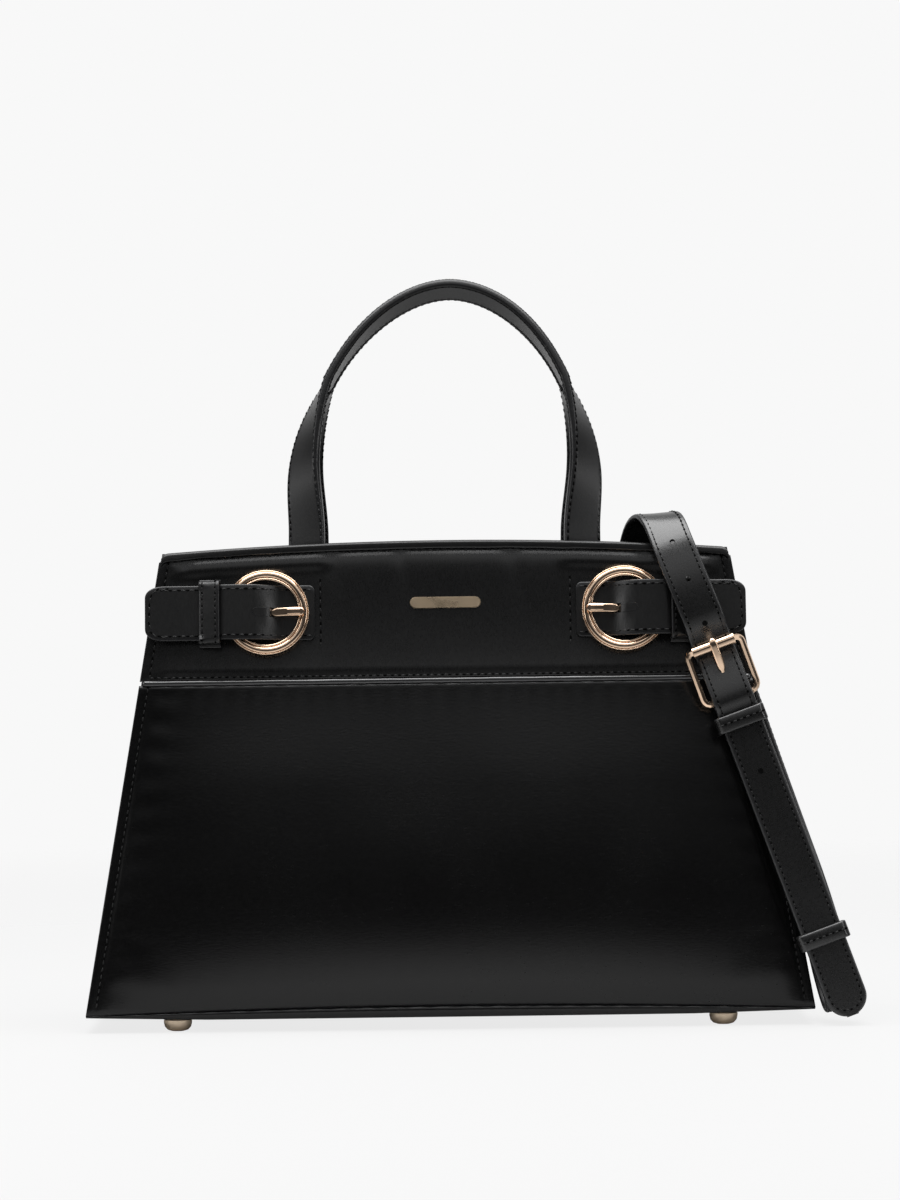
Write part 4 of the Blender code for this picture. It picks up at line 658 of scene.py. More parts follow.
# %% Stitch tree
# Size and depth of the near-black blob laid between two stitches: painted shade for the needle hole.
NEEDLE_WIDTH, NEEDLE_DEPTH, NEEDLE_SINK = 0.00105, 0.00042, 0.00008
stitch_tree, given, end = new_group(
    "stitch rows",
    [
        ("Geometry", GEOMETRY, None),
        ("Pitch", FLOAT, 0.0032),
        ("Length", FLOAT, 0.0026),
        ("Width", FLOAT, 0.00064),
        ("Height", FLOAT, 0.00050),
        ("Seed", "NodeSocketInt", 7),
        ("Thread", "NodeSocketMaterial", None),
        ("Hole shade", "NodeSocketMaterial", None),
    ],
    [("Geometry", GEOMETRY)],
    "GeometryNodeTree",
)


def stitch_node(kind, inputs=None, **settings):
    return add_node(stitch_tree, kind, inputs, **settings).outputs[0]


curve = stitch_node("GeometryNodeMeshToCurve", {"Mesh": given["Geometry"]})
cut = stitch_node("GeometryNodeResampleCurve", {"Curve": curve, "Length": given["Pitch"]}, mode="LENGTH")
bead = stitch_node("GeometryNodeMeshUVSphere", {"Segments": 8, "Rings": 5, "Radius": 0.5})
size = stitch_node("ShaderNodeCombineXYZ", {"X": given["Length"], "Y": given["Width"], "Z": given["Height"]})
shaped = stitch_node("GeometryNodeTransform", {"Geometry": bead, "Scale": size})
tangent = stitch_node("GeometryNodeInputTangent")
outward = stitch_node("GeometryNodeInputNamedAttribute", {"Name": "out"}, data_type="FLOAT_VECTOR")
axes = {"Primary Axis": outward, "Secondary Axis": tangent}
turned = stitch_node("FunctionNodeAxesToRotation", axes, primary_axis="Z", secondary_axis="X")
swing = {0: (-0.06, -0.06, -0.09), 1: (0.06, 0.06, 0.09), "Seed": given["Seed"]}
roll = stitch_node("FunctionNodeRandomValue", swing, data_type="FLOAT_VECTOR")
rolled = stitch_node("FunctionNodeRotateRotation", {0: turned, 1: roll}, rotation_space="LOCAL")
beads = stitch_node("GeometryNodeInstanceOnPoints", {"Points": cut, "Instance": shaped, "Rotation": rolled})
# Between each two stitches a flat near-black blob lies in the hole material: painted shade for the needle
# hole and the row's groove.
half_pitch = math_node(stitch_tree, "MULTIPLY", given["Pitch"], 0.5)
beside = stitch_node("ShaderNodeCombineXYZ", {"X": half_pitch, "Z": -NEEDLE_SINK})
gap_length = math_node(stitch_tree, "MULTIPLY", given["Pitch"], 0.62)
gap = stitch_node("ShaderNodeCombineXYZ", {"X": gap_length, "Y": NEEDLE_WIDTH, "Z": NEEDLE_DEPTH})
dot = stitch_node("GeometryNodeMeshUVSphere", {"Segments": 6, "Rings": 4, "Radius": 0.5})
hole = stitch_node("GeometryNodeTransform", {"Geometry": dot, "Translation": beside, "Scale": gap})
hole_shades = stitch_node("GeometryNodeInstanceOnPoints", {"Points": cut, "Instance": hole, "Rotation": turned})
both = stitch_tree.nodes.new("GeometryNodeJoinGeometry")
for instances, label in ((beads, "Thread"), (hole_shades, "Hole shade")):
    real = stitch_node("GeometryNodeRealizeInstances", {"Geometry": instances})
    shaded = stitch_node("GeometryNodeSetMaterial", {"Geometry": real, "Material": given[label]})
    stitch_tree.links.new(shaded, both.inputs[0])
smooth = stitch_node("GeometryNodeSetShadeSmooth", {0: both.outputs[0]})
set_inputs(stitch_tree, end, {"Geometry": smooth})
print("stitch tree has", len(stitch_tree.nodes), "nodes")


def stitches(name, rows, body=BAG, bend=None, pitch=0.0032, seed=7):
    """Sews rows of stitches. A row lists pairs: a point, and the direction out of the leather.
    With bend, a start and an end point, the rows stay where they are built and go to no body; the two points
    are not read."""
    points, lines, outs = [], [], []
    for row in rows:
        first = len(points)
        points += [tuple(point) for point, _ in row]
        outs += [value for _, out in row for value in out]
        lines += [(first + i, first + i + 1) for i in range(len(row) - 1)]
    guide = bpy.data.meshes.new(name + "_guide")
    guide.from_pydata(points, lines, [])
    guide.attributes.new("out", "FLOAT_VECTOR", "POINT").data.foreach_set("vector", outs)
    obj = new_object(name, guide)
    modifier = obj.modifiers.new("sew", "NODES")
    modifier.node_group = stitch_tree
    values = {"Pitch": pitch, "Length": pitch * 0.66, "Seed": seed, "Thread": THREAD, "Hole shade": NEEDLE_HOLE_SHADE}
    for item in stitch_tree.interface.items_tree:
        if item.in_out == "INPUT" and item.name in values:
            modifier[item.identifier] = values[item.name]
    graph = bpy.context.evaluated_depsgraph_get()
    sewn = bpy.data.meshes.new_from_object(obj.evaluated_get(graph))
    sewn.name = name
    bpy.data.objects.remove(obj)
    bpy.data.meshes.remove(guide)
    obj = new_object(name, sewn)
    if bend:
        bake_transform(obj)
    else:
        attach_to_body(obj, body)
    print(name, "has", len(sewn.polygons), "faces")


# %% [markdown]
# ## Front and back: panel, yoke, piping and bound rim
# The lower panel is leather over a thin foam, drawn in a little where the seams hold it, so
# small puckers run out of every seam. The yoke over it is padded more: it stands up between
# its seams, is pressed flat under the belts, and has a few upright creases where the rim has
# been bent in use. Both are grids whose points are pushed out by a few soft waves.

# %% Front and back
CREASES = ((-0.111, 0.0034), (-0.047, 0.0040), (-0.017, 0.0026), (0.031, 0.0036), (0.088, 0.0034))
RIM_SEAM = 0.0039  # from the rim down to its row of stitches
PIPING_SEAM = 0.0024  # from the piping up to its row
FLANGE_SEAM = 0.0040  # from the side edges in to their rows
GROOVE_DEPTH, GROOVE_WIDTH = 0.00032, 0.0009
PIPING_GROOVE_WIDTH = 0.0007
RIM_CORNER = 0.0034
PRESSED = 0.0009  # the leather meets the round piping this far from its middle


def puckers(along, distance, wavelength, reach):
    """Small folds that run away from a seam and fade with distance from it."""
    sway = noise.noise(Vector((along * 25, distance * 30, wavelength * 1000)))
    wave = math.sin(2 * math.pi * along / wavelength + 3 * sway)
    return wave * math.exp(-max(distance, 0.0) / reach)


def rim_line(x):
    """The rim's height, with its two corners rounded."""
    past = min(max(abs(x) - (TOP_WIDTH / 2 - RIM_CORNER), 0.0), 0.97 * RIM_CORNER)
    return rim_height(x) - RIM_CORNER + math.sqrt(RIM_CORNER**2 - past**2)


def panel_relief(x, z, side):
    across = abs(x) / half_width(z)
    flange = half_width(z) - abs(x)
    below = PIPING_HEIGHT - z
    over = z - seam_height(min(abs(x), BASE_WIDTH / 2))
    inner = ease(flange, 0.004, 0.014)
    seams = ease(below, 0.0, 0.045) * ease(over, 0.0, 0.012)
    broad = 0.0006 * noise.noise(Vector((x * 11, side * 3, z * 9)))
    folds = 0.00016 * puckers(x, below, 0.0088, 0.006) + 0.00020 * puckers(x, over, 0.0110, 0.008)
    sides = 0.00022 * puckers(z, flange - 0.008, 0.0120, 0.006)
    groove = -GROOVE_DEPTH * hump(flange, FLANGE_SEAM, GROOVE_WIDTH)
    corner = 0.00025 * math.sin(240 * (z - 0.5 * abs(x))) * ease(across, 0.72, 0.95)
    corner *= 1 - ease(over, 0.010, 0.045)
    padding = seams * (0.0009 + broad + corner)
    return inner * padding + inner * (folds + sides) * ease(below, 0.0, 0.002) + groove


def yoke_relief(x, z, side):
    """The padding puffs up under the rim's seam and again over the piping, and lies low between."""
    drop = rim_height(x) - z
    rise = z - PIPING_HEIGHT
    flange = half_width(z) - abs(x)
    inner = ease(flange, 0.0042, 0.013)
    under_rim = drop - RIM_SEAM
    over_piping = rise - PIPING_SEAM
    fall = max(under_rim, 0.0)
    crest = 0.0019 * (1 - math.exp(-fall / 0.0036)) * math.exp(-fall / 0.045)
    foot = 0.0004 * ease(over_piping, 0, 0.0030) * math.exp(-max(over_piping - 0.003, 0) / 0.0100)
    under_belt = ease(abs(x), 0.046, 0.056) if side < 0 else 0.0
    crest *= 1 - 0.75 * under_belt * ease(drop, 0.008, 0.013)
    broad = noise.noise(Vector((x * 14, side * 5, z * 10)))
    crease = sum(hump(x + 0.25 * (z - 0.19), at, width) for at, width in CREASES)
    sunk = -0.0006 * crease * math.exp(-fall / 0.012) * ease(under_rim, 0, 0.002)
    folds = 1.1 * puckers(x, under_rim, 0.0034, 0.0028) * ease(under_rim, 0, 0.0012)
    folds += 0.8 * puckers(x, over_piping, 0.0058, 0.0030) * ease(over_piping, 0, 0.0012)
    soft = 0.0002 + crest * (1 + 0.35 * broad) + foot + sunk + 0.00013 * folds
    grooves = hump(drop, RIM_SEAM, GROOVE_WIDTH) + hump(rise, PIPING_SEAM, PIPING_GROOVE_WIDTH)
    grooves += hump(flange, FLANGE_SEAM, GROOVE_WIDTH)
    return inner * soft - GROOVE_DEPTH * min(grooves, 1.0)


WALL_COLUMNS = 201
BORDER_SINK = 0.00006


def wall_sheet(name, side, low, high, rows, thickness, relief, material, tuck):
    """A front or back piece between two height functions. Its low edge is tucked in by tuck."""
    outer, inner = [], []
    for up in spread(0, 1, rows - 1):
        outside, inside = [], []
        for step in spread(-1, 1, WALL_COLUMNS - 1):
            share = crowded(step, 1.25)
            x = share * TOP_WIDTH / 2
            for _ in range(2):
                z = low(x) + (high(x) - low(x)) * up
                x = share * half_width(z)
            depth = face_depth(x, z)
            rise = relief(x, z, side) - (BORDER_SINK if up == 1 or abs(step) == 1 else 0.0)
            if up == 0:
                rise = -tuck
            outside.append((x, side * (depth + rise), z))
            inside.append((x, side * (depth - thickness), z))
        outer.append(outside)
        inner.append(inside)
    return sheet(name, outer, inner, material)


def binding(word, side):
    """A folded strip over the rim: flat outside, round over the top and flat inside."""
    rings = []
    inside = YOKE_THICKNESS + SEAM_GAP
    thick = BINDING_THICKNESS
    outside = thick + SEAM_GAP
    middle = -inside / 2 + SEAM_GAP / 2
    reach = outside - middle
    crown = 0.0012
    for step in spread(-1, 1, 140):
        x = crowded(step, 1.7) * (half_width(SIDE_HEIGHT) - SEAM_GAP)
        top = rim_line(x)
        ripple = 0.00012 * noise.noise(Vector((x * 90, side, 0)))
        foot = top - BINDING_DEPTH + 2 * ripple
        outline = [(outside, foot), (outside + ripple, foot + 0.0008), (outside, top - crown)]
        for turn in (20, 45, 70, 90, 110, 135, 160):
            t = math.radians(turn)
            outline.append((middle + reach * math.cos(t), top - crown + crown * math.sin(t) ** 0.8))
        outline += [(-inside - thick, top - crown), (-inside - thick, foot), (-inside, foot)]
        outline += [(-inside, top - thick), (SEAM_GAP, top - thick), (SEAM_GAP, foot)]
        rings.append([(x, side * (face_depth(x, min(z, SIDE_HEIGHT)) + out), z) for out, z in outline])
    dress(skin(f"{word}_rim_binding", rings, EDGE_LEATHER), f"{word}_top_binding")


def piping(word, side):
    """A cord wrapped in patent leather. Its round face catches a bright line of light."""
    path = []
    for share in spread(-1, 1, 160):
        x = share * (half_width(PIPING_HEIGHT) - PIPING_RADIUS)
        y = side * (face_depth(x, PIPING_HEIGHT) - PIPING_RADIUS * 0.3)
        wander = 0.00010 * noise.noise(Vector((x * 60, side * 2, 1)))
        path.append(Vector((x, y, PIPING_HEIGHT + wander)))
    up = [Vector((0, 0, 1))] * len(path)
    radius = PIPING_RADIUS * 0.96
    piece = tube(f"{word}_patent_piping", path, up, lambda i: radius * (1 + 0.03 * math.sin(i * 0.9)), PATENT)
    dress(piece, f"{word}_piping")


THREAD_LIFT = 0.00012
PIPING_ROW_REACH, RIM_ROW_REACH = 0.1275, 0.1185
PANEL_ROW = (0.007, PIPING_HEIGHT - 0.003)
YOKE_ROW = (PIPING_HEIGHT + 0.003, 0.1955)
BELT_ROW_X, BELT_ROW = 0.0541, (0.1610, 0.1870)


def on_face(x, z, side, relief):
    """A point on the finished surface, and the direction out of the leather there."""
    out = out_of_face(x, z, side)
    return Vector((x, side * (face_depth(x, z) + relief(x, z, side)), z)) + out * THREAD_LIFT, out


def seam_rows(side):
    """All rows of one face, sunk in their grooves: over the piping, under the rim, up both sides."""
    over_piping = [(x, PIPING_HEIGHT + PIPING_SEAM) for x in spread(-PIPING_ROW_REACH, PIPING_ROW_REACH, 160)]
    under_rim = [(x, rim_height(x) - RIM_SEAM) for x in spread(-RIM_ROW_REACH, RIM_ROW_REACH, 160)]
    rows = [[on_face(x, z, side, yoke_relief) for x, z in row] for row in (over_piping, under_rim)]
    for end in (-1, 1):
        for span, relief in ((PANEL_ROW, panel_relief), (YOKE_ROW, yoke_relief)):
            row = [(end * (half_width(z) - FLANGE_SEAM), z) for z in spread(*span, 60)]
            rows.append([on_face(x, z, side, relief) for x, z in row])
    return rows


def belt_end_rows(side):
    """A short upright row beside each belt's inner end."""
    zs = spread(*BELT_ROW, 20)
    return [[on_face(end * BELT_ROW_X, z, side, yoke_relief) for z in zs] for end in (-1, 1)]


def panel_top(_):
    return PIPING_HEIGHT - PRESSED


def yoke_foot(_):
    return PIPING_HEIGHT + PRESSED


def yoke_top(x):
    return rim_line(x) - BINDING_THICKNESS - SEAM_GAP


PANEL = (seam_height, panel_top, 92, PANEL_THICKNESS, panel_relief, PANEL_LEATHER, 0.00045)
YOKE = (yoke_foot, yoke_top, 52, YOKE_THICKNESS, yoke_relief, YOKE_LEATHER, 0.0001)
for word, side in FACES:
    dress(wall_sheet(f"{word}_lower_panel", side, *PANEL), f"{word}_panel")
    dress(wall_sheet(f"{word}_padded_yoke", side, *YOKE), f"{word}_yoke")
    piping(word, side)
    binding(word, side)
    stitches(f"{word}_seam_stitches", seam_rows(side), pitch=0.0031)
stitches("belt_end_stitches", belt_end_rows(-1), pitch=0.0035)
print("front and back done")

# %% [markdown]
# ## Gussets and base
# Each side is closed by a gusset that folds inwards towards the rim, so the bag can be
# squeezed. Its edges turn out and are sewn to the front and back as flanges. The base is one
# more sheet, curled up at its long edges.


# %% Gussets and base
def gusset_room(z):
    return half_depth(z) - YOKE_THICKNESS - BINDING_THICKNESS - 3 * SEAM_GAP


def gusset_bow(y, z):
    return GUSSET_BOW * (z / SIDE_HEIGHT) ** 2 * (1 - (y / gusset_room(z)) ** 2)


def gusset(word, side):
    low = BASE_THICKNESS + BASE_EDGE_RISE + SEAM_GAP
    shares = [-1] + spread(-1, 1, 40) + [1]
    outer, inner = [], []
    for up in spread(0, 1, 63):
        outside, inside = [], []
        for index, share in enumerate(shares):
            rim = SIDE_HEIGHT - GUSSET_DROP * (1 - share**2)
            z = low + (rim - low) * up
            y = share * gusset_room(z)
            wall = half_width(z) - FLANGE_WIDTH - gusset_bow(y, z)
            turn = -math.copysign(GUSSET_THICKNESS, share) if abs(share) == 1 else 0.0
            if index in (0, len(shares) - 1):
                wall = face = half_width(z) - 0.0006
            else:
                flat = (1 - share**2) * ease(z, low, 0.03) * (1 - ease(z, rim - 0.012, rim))
                swollen = 0.0016 * flat * (1 - ease(z, 0.10, 0.19))
                folds = 0.0005 * flat * noise.noise(Vector((side * 4, y * 22, z * 14)))
                face = wall + GUSSET_THICKNESS + swollen + folds
            inside.append((side * wall, y, z))
            outside.append((side * face, y + turn, z))
        outer.append(outside)
        inner.append(inside)
    dress(sheet(f"{word}_side_gusset", outer, inner, PANEL_LEATHER), f"{word}_gusset")


def base():
    """Rows run from the front edge under the bag to the back edge."""
    flat_x, flat_y = 0.105, 0.032
    end = BASE_WIDTH / 2 - 0.0005
    thick = BASE_THICKNESS
    lower, upper = [], []
    steps = [-1, -1, -1] + spread(-1, 1, 30) + [1, 1, 1]
    for index, share in enumerate(steps):
        under, over = [], []
        from_end = min(index, len(steps) - 1 - index)
        for x in spread(-end, end, 120):
            top = seam_height(x) - SEAM_GAP
            edge = face_depth(x, top) - 0.0004
            rise = BASE_EDGE_RISE * 0.5 * max(0.0, (abs(x) - flat_x) / (end - flat_x))
            turned = edge - 0.0032
            reach = turned * abs(share)
            middle = (top + rise) / 2
            curl = [
                (edge, top, edge - thick * 0.8, top),
                (edge + 0.0001, middle + 0.0005, edge - thick, middle + 0.0012),
                (edge - 0.0009, rise + 0.0005, edge - thick * 1.3, rise + thick * 0.95),
                (reach, rise + 0.0002 * ease(reach, flat_y, turned), reach, rise + thick),
            ]
            out, low, inside, high = curl[min(from_end, 3)]
            side = -1 if index < len(steps) / 2 else 1
            side = math.copysign(1, share) if from_end > 2 else side
            under.append((x, side * out, low))
            over.append((x, side * inside, high))
        lower.append(under)
        upper.append(over)
    dress(sheet("base_leather", lower, upper, PANEL_LEATHER), "base_panel")


for word, side in SIDES:
    gusset(word, side)
base()
print("gussets and base done")

# %% [markdown]
# ## Handles
# Each handle is one long strap. It comes up between the yoke and the lining with its face
# to the front, turns edge on, and arches over. Its lower ends are sewn to the bag. The strap
# and its stitches are left where they are built and handed to no body, so they do not fold
# with the handle at the rim.

# %% Handles
HANDLE_SPREAD = 0.060
HANDLE_STRAIGHT_HEIGHT = 0.235
HANDLE_TOP_HEIGHT = 0.3164
HANDLE_WIDTH = 0.0161
HANDLE_THICKNESS = 0.0038
HANDLE_ARCH_POWER = 1.87
HANDLE_BOW = 0.025  # share by which the legs bow outwards over the rim
HANDLE_TOP_APART = 0.0190
HANDLE_SWAY = 0.0033
HANDLE_ROOT_TURN = math.radians(12)
HANDLE_TWIST_END = 0.276
HANDLE_OVERTURN = math.radians(8)  # at the top the inner face shows a little
ANCHOR_LENGTH = 0.022
HANDLE_RIM = rim_height(HANDLE_SPREAD)


def handle_root_y():
    half_turned = HANDLE_WIDTH / 2 * math.sin(HANDLE_ROOT_TURN) + HANDLE_THICKNESS / 2
    layers = YOKE_THICKNESS + BINDING_THICKNESS + 2.5 * SEAM_GAP
    return face_depth(HANDLE_SPREAD, HANDLE_RIM) - layers - half_turned


def handle_point(turn, side):
    """Centre line of a handle, from the left root (0) over the top to the right root (1)."""
    root_z = HANDLE_RIM + SEAM_GAP
    straight = 0.16
    if turn < straight or turn > 1 - straight:
        share = turn / straight if turn < 0.5 else (1 - turn) / straight
        x = -HANDLE_SPREAD if turn < 0.5 else HANDLE_SPREAD
        z = root_z + (HANDLE_STRAIGHT_HEIGHT - root_z) * share
    else:
        angle = math.pi * (turn - straight) / (1 - 2 * straight)
        power = 2 / HANDLE_ARCH_POWER
        x = -HANDLE_SPREAD * math.copysign(abs(math.cos(angle)) ** power, math.cos(angle))
        z = HANDLE_STRAIGHT_HEIGHT + (HANDLE_TOP_HEIGHT - HANDLE_STRAIGHT_HEIGHT) * math.sin(angle) ** power
    x *= 1 + HANDLE_BOW * ease(z, root_z + 0.004, HANDLE_STRAIGHT_HEIGHT)
    rise = (z - root_z) / (HANDLE_TOP_HEIGHT - root_z)
    root_y = handle_root_y()
    y = root_y + (HANDLE_TOP_APART / 2 - root_y) * rise
    return Vector((x + HANDLE_SWAY * max(rise, 0.0) ** 1.5, side * y, z))


def handle_path(side):
    """Path and width directions from one sewn end to the other."""
    arch_steps, end_steps = 200, 14
    path = [handle_point(turn, side) for turn in spread(0, 1, arch_steps)]
    lean = path[arch_steps // 2] - path[0]
    lean = Vector((0, lean.y, lean.z)).normalized()
    plane = Vector((1, 0, 0)).cross(lean)
    forward = plane if plane.y * side > 0 else -plane
    middle = path[arch_steps // 2]
    across = []
    for point, tangent in zip(path, tangents_of(path)):
        outward = tangent.cross(forward)
        if outward.dot(point - middle + Vector((0, 0, HANDLE_TOP_HEIGHT * 0.3))) < 0:
            outward = -outward
        share = min(max((point.z - HANDLE_RIM) / (HANDLE_TWIST_END - HANDLE_RIM), 0.0), 1.0)
        turn = HANDLE_ROOT_TURN + (math.pi / 2 - HANDLE_ROOT_TURN) * share**1.45
        turn += HANDLE_OVERTURN * ease(point.z, HANDLE_TWIST_END, HANDLE_TOP_HEIGHT)
        normal = outward * math.sin(turn) + forward * math.cos(turn)
        across.append(tangent.cross(normal).normalized())
    ends = []
    for end in (-1, 1):
        points, widths = [], []
        for step in range(1, end_steps + 1):
            share = step / end_steps
            z = HANDLE_RIM - ANCHOR_LENGTH * share
            y = handle_root_y() + face_depth(HANDLE_SPREAD, z) - face_depth(HANDLE_SPREAD, HANDLE_RIM)
            turn = HANDLE_ROOT_TURN * (1 - share) ** 2
            points.append(Vector((end * HANDLE_SPREAD, side * y, z)))
            wide = Vector((end * math.cos(turn), -side * math.sin(turn), 0))
            beside = across[0] if end < 0 else across[-1]
            widths.append(wide if wide.dot(beside) > 0 else -wide)
        ends.append((points, widths))
    path = ends[0][0][::-1] + path + ends[1][0]
    across = ends[0][1][::-1] + across + ends[1][1]
    return path, across


SUNK = 0.00003  # the thread is pulled into the leather
HANDLE_INSET = 0.0013  # from the handle's edges to its rows


def strap_rows(path, across, width_at, thick_at, inset, faces, first=0, last=None):
    """Two rows of stitches on each named face (1 outside, -1 inside) of a strap."""
    rows = []
    frames = frames_of(path, across)
    last = len(path) - 1 if last is None else last
    for face in faces:
        for edge in (-1, 1):
            row = []
            for index in range(first, last + 1):
                wide, out = frames[index]
                beside = wide * edge * (width_at(index) / 2 - inset)
                lift = out * face * (thick_at(index) / 2 - SUNK)
                row.append((path[index] + beside + lift, out * face))
            rows.append(row)
    return rows


for word, side in FACES:
    path, across = handle_path(side)
    section = (lambda _: HANDLE_WIDTH, lambda _: HANDLE_THICKNESS)
    strap = band(f"{word}_handle_strap", path, across, *section, HANDLE_LEATHER)
    root = Vector((0, side * handle_root_y(), HANDLE_RIM - 0.001))
    over = Vector((0, side * handle_root_y(), HANDLE_RIM + 0.016))
    body = f"{word}_handle_body"
    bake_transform(strap)
    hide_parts(f"{word}_handle", f"{word}_left_handle_anchor", f"{word}_right_handle_anchor")
    first = next(i for i, point in enumerate(path) if point.z > HANDLE_RIM + 0.002)
    last = len(path) - 1 - first
    rows = strap_rows(path, across, *section, HANDLE_INSET, (-1, 1), first, last)
    stitches(f"{word}_handle_stitches", rows, body=body, bend=(root, over), pitch=0.0030, seed=3)
print("handles done")

# %% [markdown]
# ## Lining
# The lining is a cloth bag that hangs inside the leather from the rim. Cloth is never quite
# smooth, so its walls carry shallow folds that get stronger towards the floor.

# %% Lining
BOARD_TOP = BASE_THICKNESS + BASE_EDGE_RISE * 0.5 + SEAM_GAP + 0.002


def leg_room(x, z):
    """The lining stands off the yoke where a handle's end lies between them."""
    near = abs(abs(x) - HANDLE_SPREAD)
    fade = min(max(1 - (near - HANDLE_WIDTH / 2 - 0.004) / 0.018, 0.0), 1.0)
    low = HANDLE_RIM - ANCHOR_LENGTH - 0.004
    up = min(max((z - low + 0.030) / 0.030, 0.0), 1.0)
    thick = HANDLE_THICKNESS + HANDLE_WIDTH * math.sin(HANDLE_ROOT_TURN) + 2 * SEAM_GAP
    return thick * fade * fade * (3 - 2 * fade) * up


def lining_wall(z):
    """Distance of the lining's inside from the middle plane at a gusset."""
    return half_width(z) - FLANGE_WIDTH - gusset_bow(0, z) - 2 * SEAM_GAP - LINING_THICKNESS


def lining_inset(x, z):
    return YOKE_THICKNESS + BINDING_THICKNESS + 4 * SEAM_GAP + leg_room(x, z)


def lining_depth(x, z):
    return face_depth(x, z) - lining_inset(x, z) - LINING_THICKNESS


def lining_ring(z, inward, lowest):
    points = []
    reach = lining_wall(min(z, SIDE_HEIGHT - GUSSET_DROP)) + LINING_THICKNESS - inward
    dip = SIDE_HEIGHT - GUSSET_DROP
    for side in (-1, 1):
        for step in spread(-side, side, 60):
            share = crowded(step, 1.3)
            x = share * reach
            rise = rim_height(x) - BINDING_THICKNESS if z > dip - 0.001 else z
            if rise > 0.19:
                rise -= (rise - (dip - SEAM_GAP)) * ease(abs(share), 0.94, 1.0)
            depth = face_depth(x, min(z, SIDE_HEIGHT)) - lining_inset(x, z) - inward
            squeeze = 1 - 0.12 * max(0.0, abs(share) - 0.85) / 0.15
            if lowest:
                depth -= 0.004
            slack = 0.0007 * (1 - ease(z, 0.05, 0.19)) * (1 - abs(share) ** 6)
            wave = slack * (1 + noise.noise(Vector((x * 35, side * 2, z * 8))))
            points.append((x, side * (depth * squeeze - wave), rise))
    return points


floor = BOARD_TOP + SEAM_GAP
heights = [SIDE_HEIGHT, 0.196] + [0.190 - 0.0056 * step for step in range(31)] + [0.012]
rings = [lining_ring(floor, 0.0, True)] + [lining_ring(z, 0.0, False) for z in heights[::-1]]
rings += [lining_ring(z, LINING_THICKNESS, False) for z in heights]
rings.append(lining_ring(floor + LINING_THICKNESS, LINING_THICKNESS, True))
dress(skin("cloth_lining", rings, CLOTH), "lining")


def lining_row(side):
    places = [(x, rim_height(x) - 0.0075) for x in spread(-0.098, 0.098, 100)]
    return [(Vector((x, side * lining_depth(x, z), z)), Vector((0, -side, 0))) for x, z in places]


stitches("lining_stitches", [lining_row(-1), lining_row(1)], seed=23)
print("lining done")

# %% [markdown]
# ## Belts with round buckles
# Each belt lies on the yoke, dips under a round ring, and comes up through it. A narrow
# strap folded round the ring's outer side holds the ring, and a keeper holds the belt's end
# down. All of it is laid out in a flat frame on the yoke: along, up and out.

# %% Belts
BELT_X, BELT_Z = 0.0775, 0.1747
BELT_WIDTH, BELT_THICKNESS = 0.024, 0.0018
BELT_INNER_REACH, BELT_OUTER_REACH = 0.0208, 0.0525
RING_OUTER_RADIUS, RING_WIRE_RADIAL, RING_WIRE_AXIAL = 0.0185, 0.0045, 0.0030
CHAPE_WIDTH, CHAPE_THICKNESS, CHAPE_REACH = 0.0130, 0.0008, 0.036
BELT_KEEPER_REACH, BELT_KEEPER_WIDTH, KEEPER_THICKNESS = 0.0245, 0.0095, 0.0010
SLOT_WIDTH = 0.0040
CHAPE_CORNER = 0.0020
BELT_TIP = 0.009  # the length of the belt's rounded end
YOKE_CLEARANCE = 0.0005  # belts, chapes and keepers lie this far over the yoke
BELT_INSET, TIP_INSET, CHAPE_INSET, KEEPER_INSET = 0.0020, 0.0017, 0.0018, 0.0017  # rows of stitches
KEEPER_PADDING = 1.5  # a padded keeper's thickness for a flat one's
BELT_CORNER, BELT_CORNER_STEPS = 0.0024, 8
SLOT_START, SLOT_STOP = -0.0083, 0.0058  # the belt's slot for its prong
LIP_START, LIP_THICKNESS = -0.0022, 0.0003  # from here on a lip of leather covers the slot
RING_MEAN_RADIUS = RING_OUTER_RADIUS - RING_WIRE_RADIAL / 2
BELT_LOW = BELT_THICKNESS / 2 + YOKE_CLEARANCE
RING_OUT = BELT_LOW + BELT_THICKNESS / 2 + SEAM_GAP + RING_WIRE_AXIAL / 2
FOLD_TOP = RING_OUT + RING_WIRE_AXIAL / 2 + 2 * SEAM_GAP + CHAPE_THICKNESS
BELT_HIGH = FOLD_TOP + SEAM_GAP + BELT_THICKNESS / 2
BELT_REST = YOKE_CLEARANCE + 2 * CHAPE_THICKNESS + 3 * SEAM_GAP + BELT_THICKNESS / 2


class YokeFrame:
    """Along the belt, up the yoke and out of it, from the ring's centre."""

    def __init__(self, side):
        drop = face_depth(BELT_X, BELT_Z - 0.01) - face_depth(BELT_X, BELT_Z + 0.01)
        lean = math.atan2(drop, 0.02)
        self.origin = Vector((side * BELT_X, -face_depth(BELT_X, BELT_Z), BELT_Z))
        self.along = Vector((side, 0, 0))
        self.up = Vector((0, math.sin(lean), math.cos(lean)))
        self.out = Vector((0, -math.cos(lean), math.sin(lean)))

    def at(self, s, v, u):
        return self.origin + self.along * s + self.up * v + self.out * u


def belt_out(s):
    climb = ease(s, -0.0085, 0.0085)
    settle = ease(s, RING_OUTER_RADIUS - 0.001, BELT_KEEPER_REACH + 0.002)
    return BELT_LOW + (BELT_HIGH - BELT_LOW) * climb - (BELT_HIGH - BELT_REST) * settle


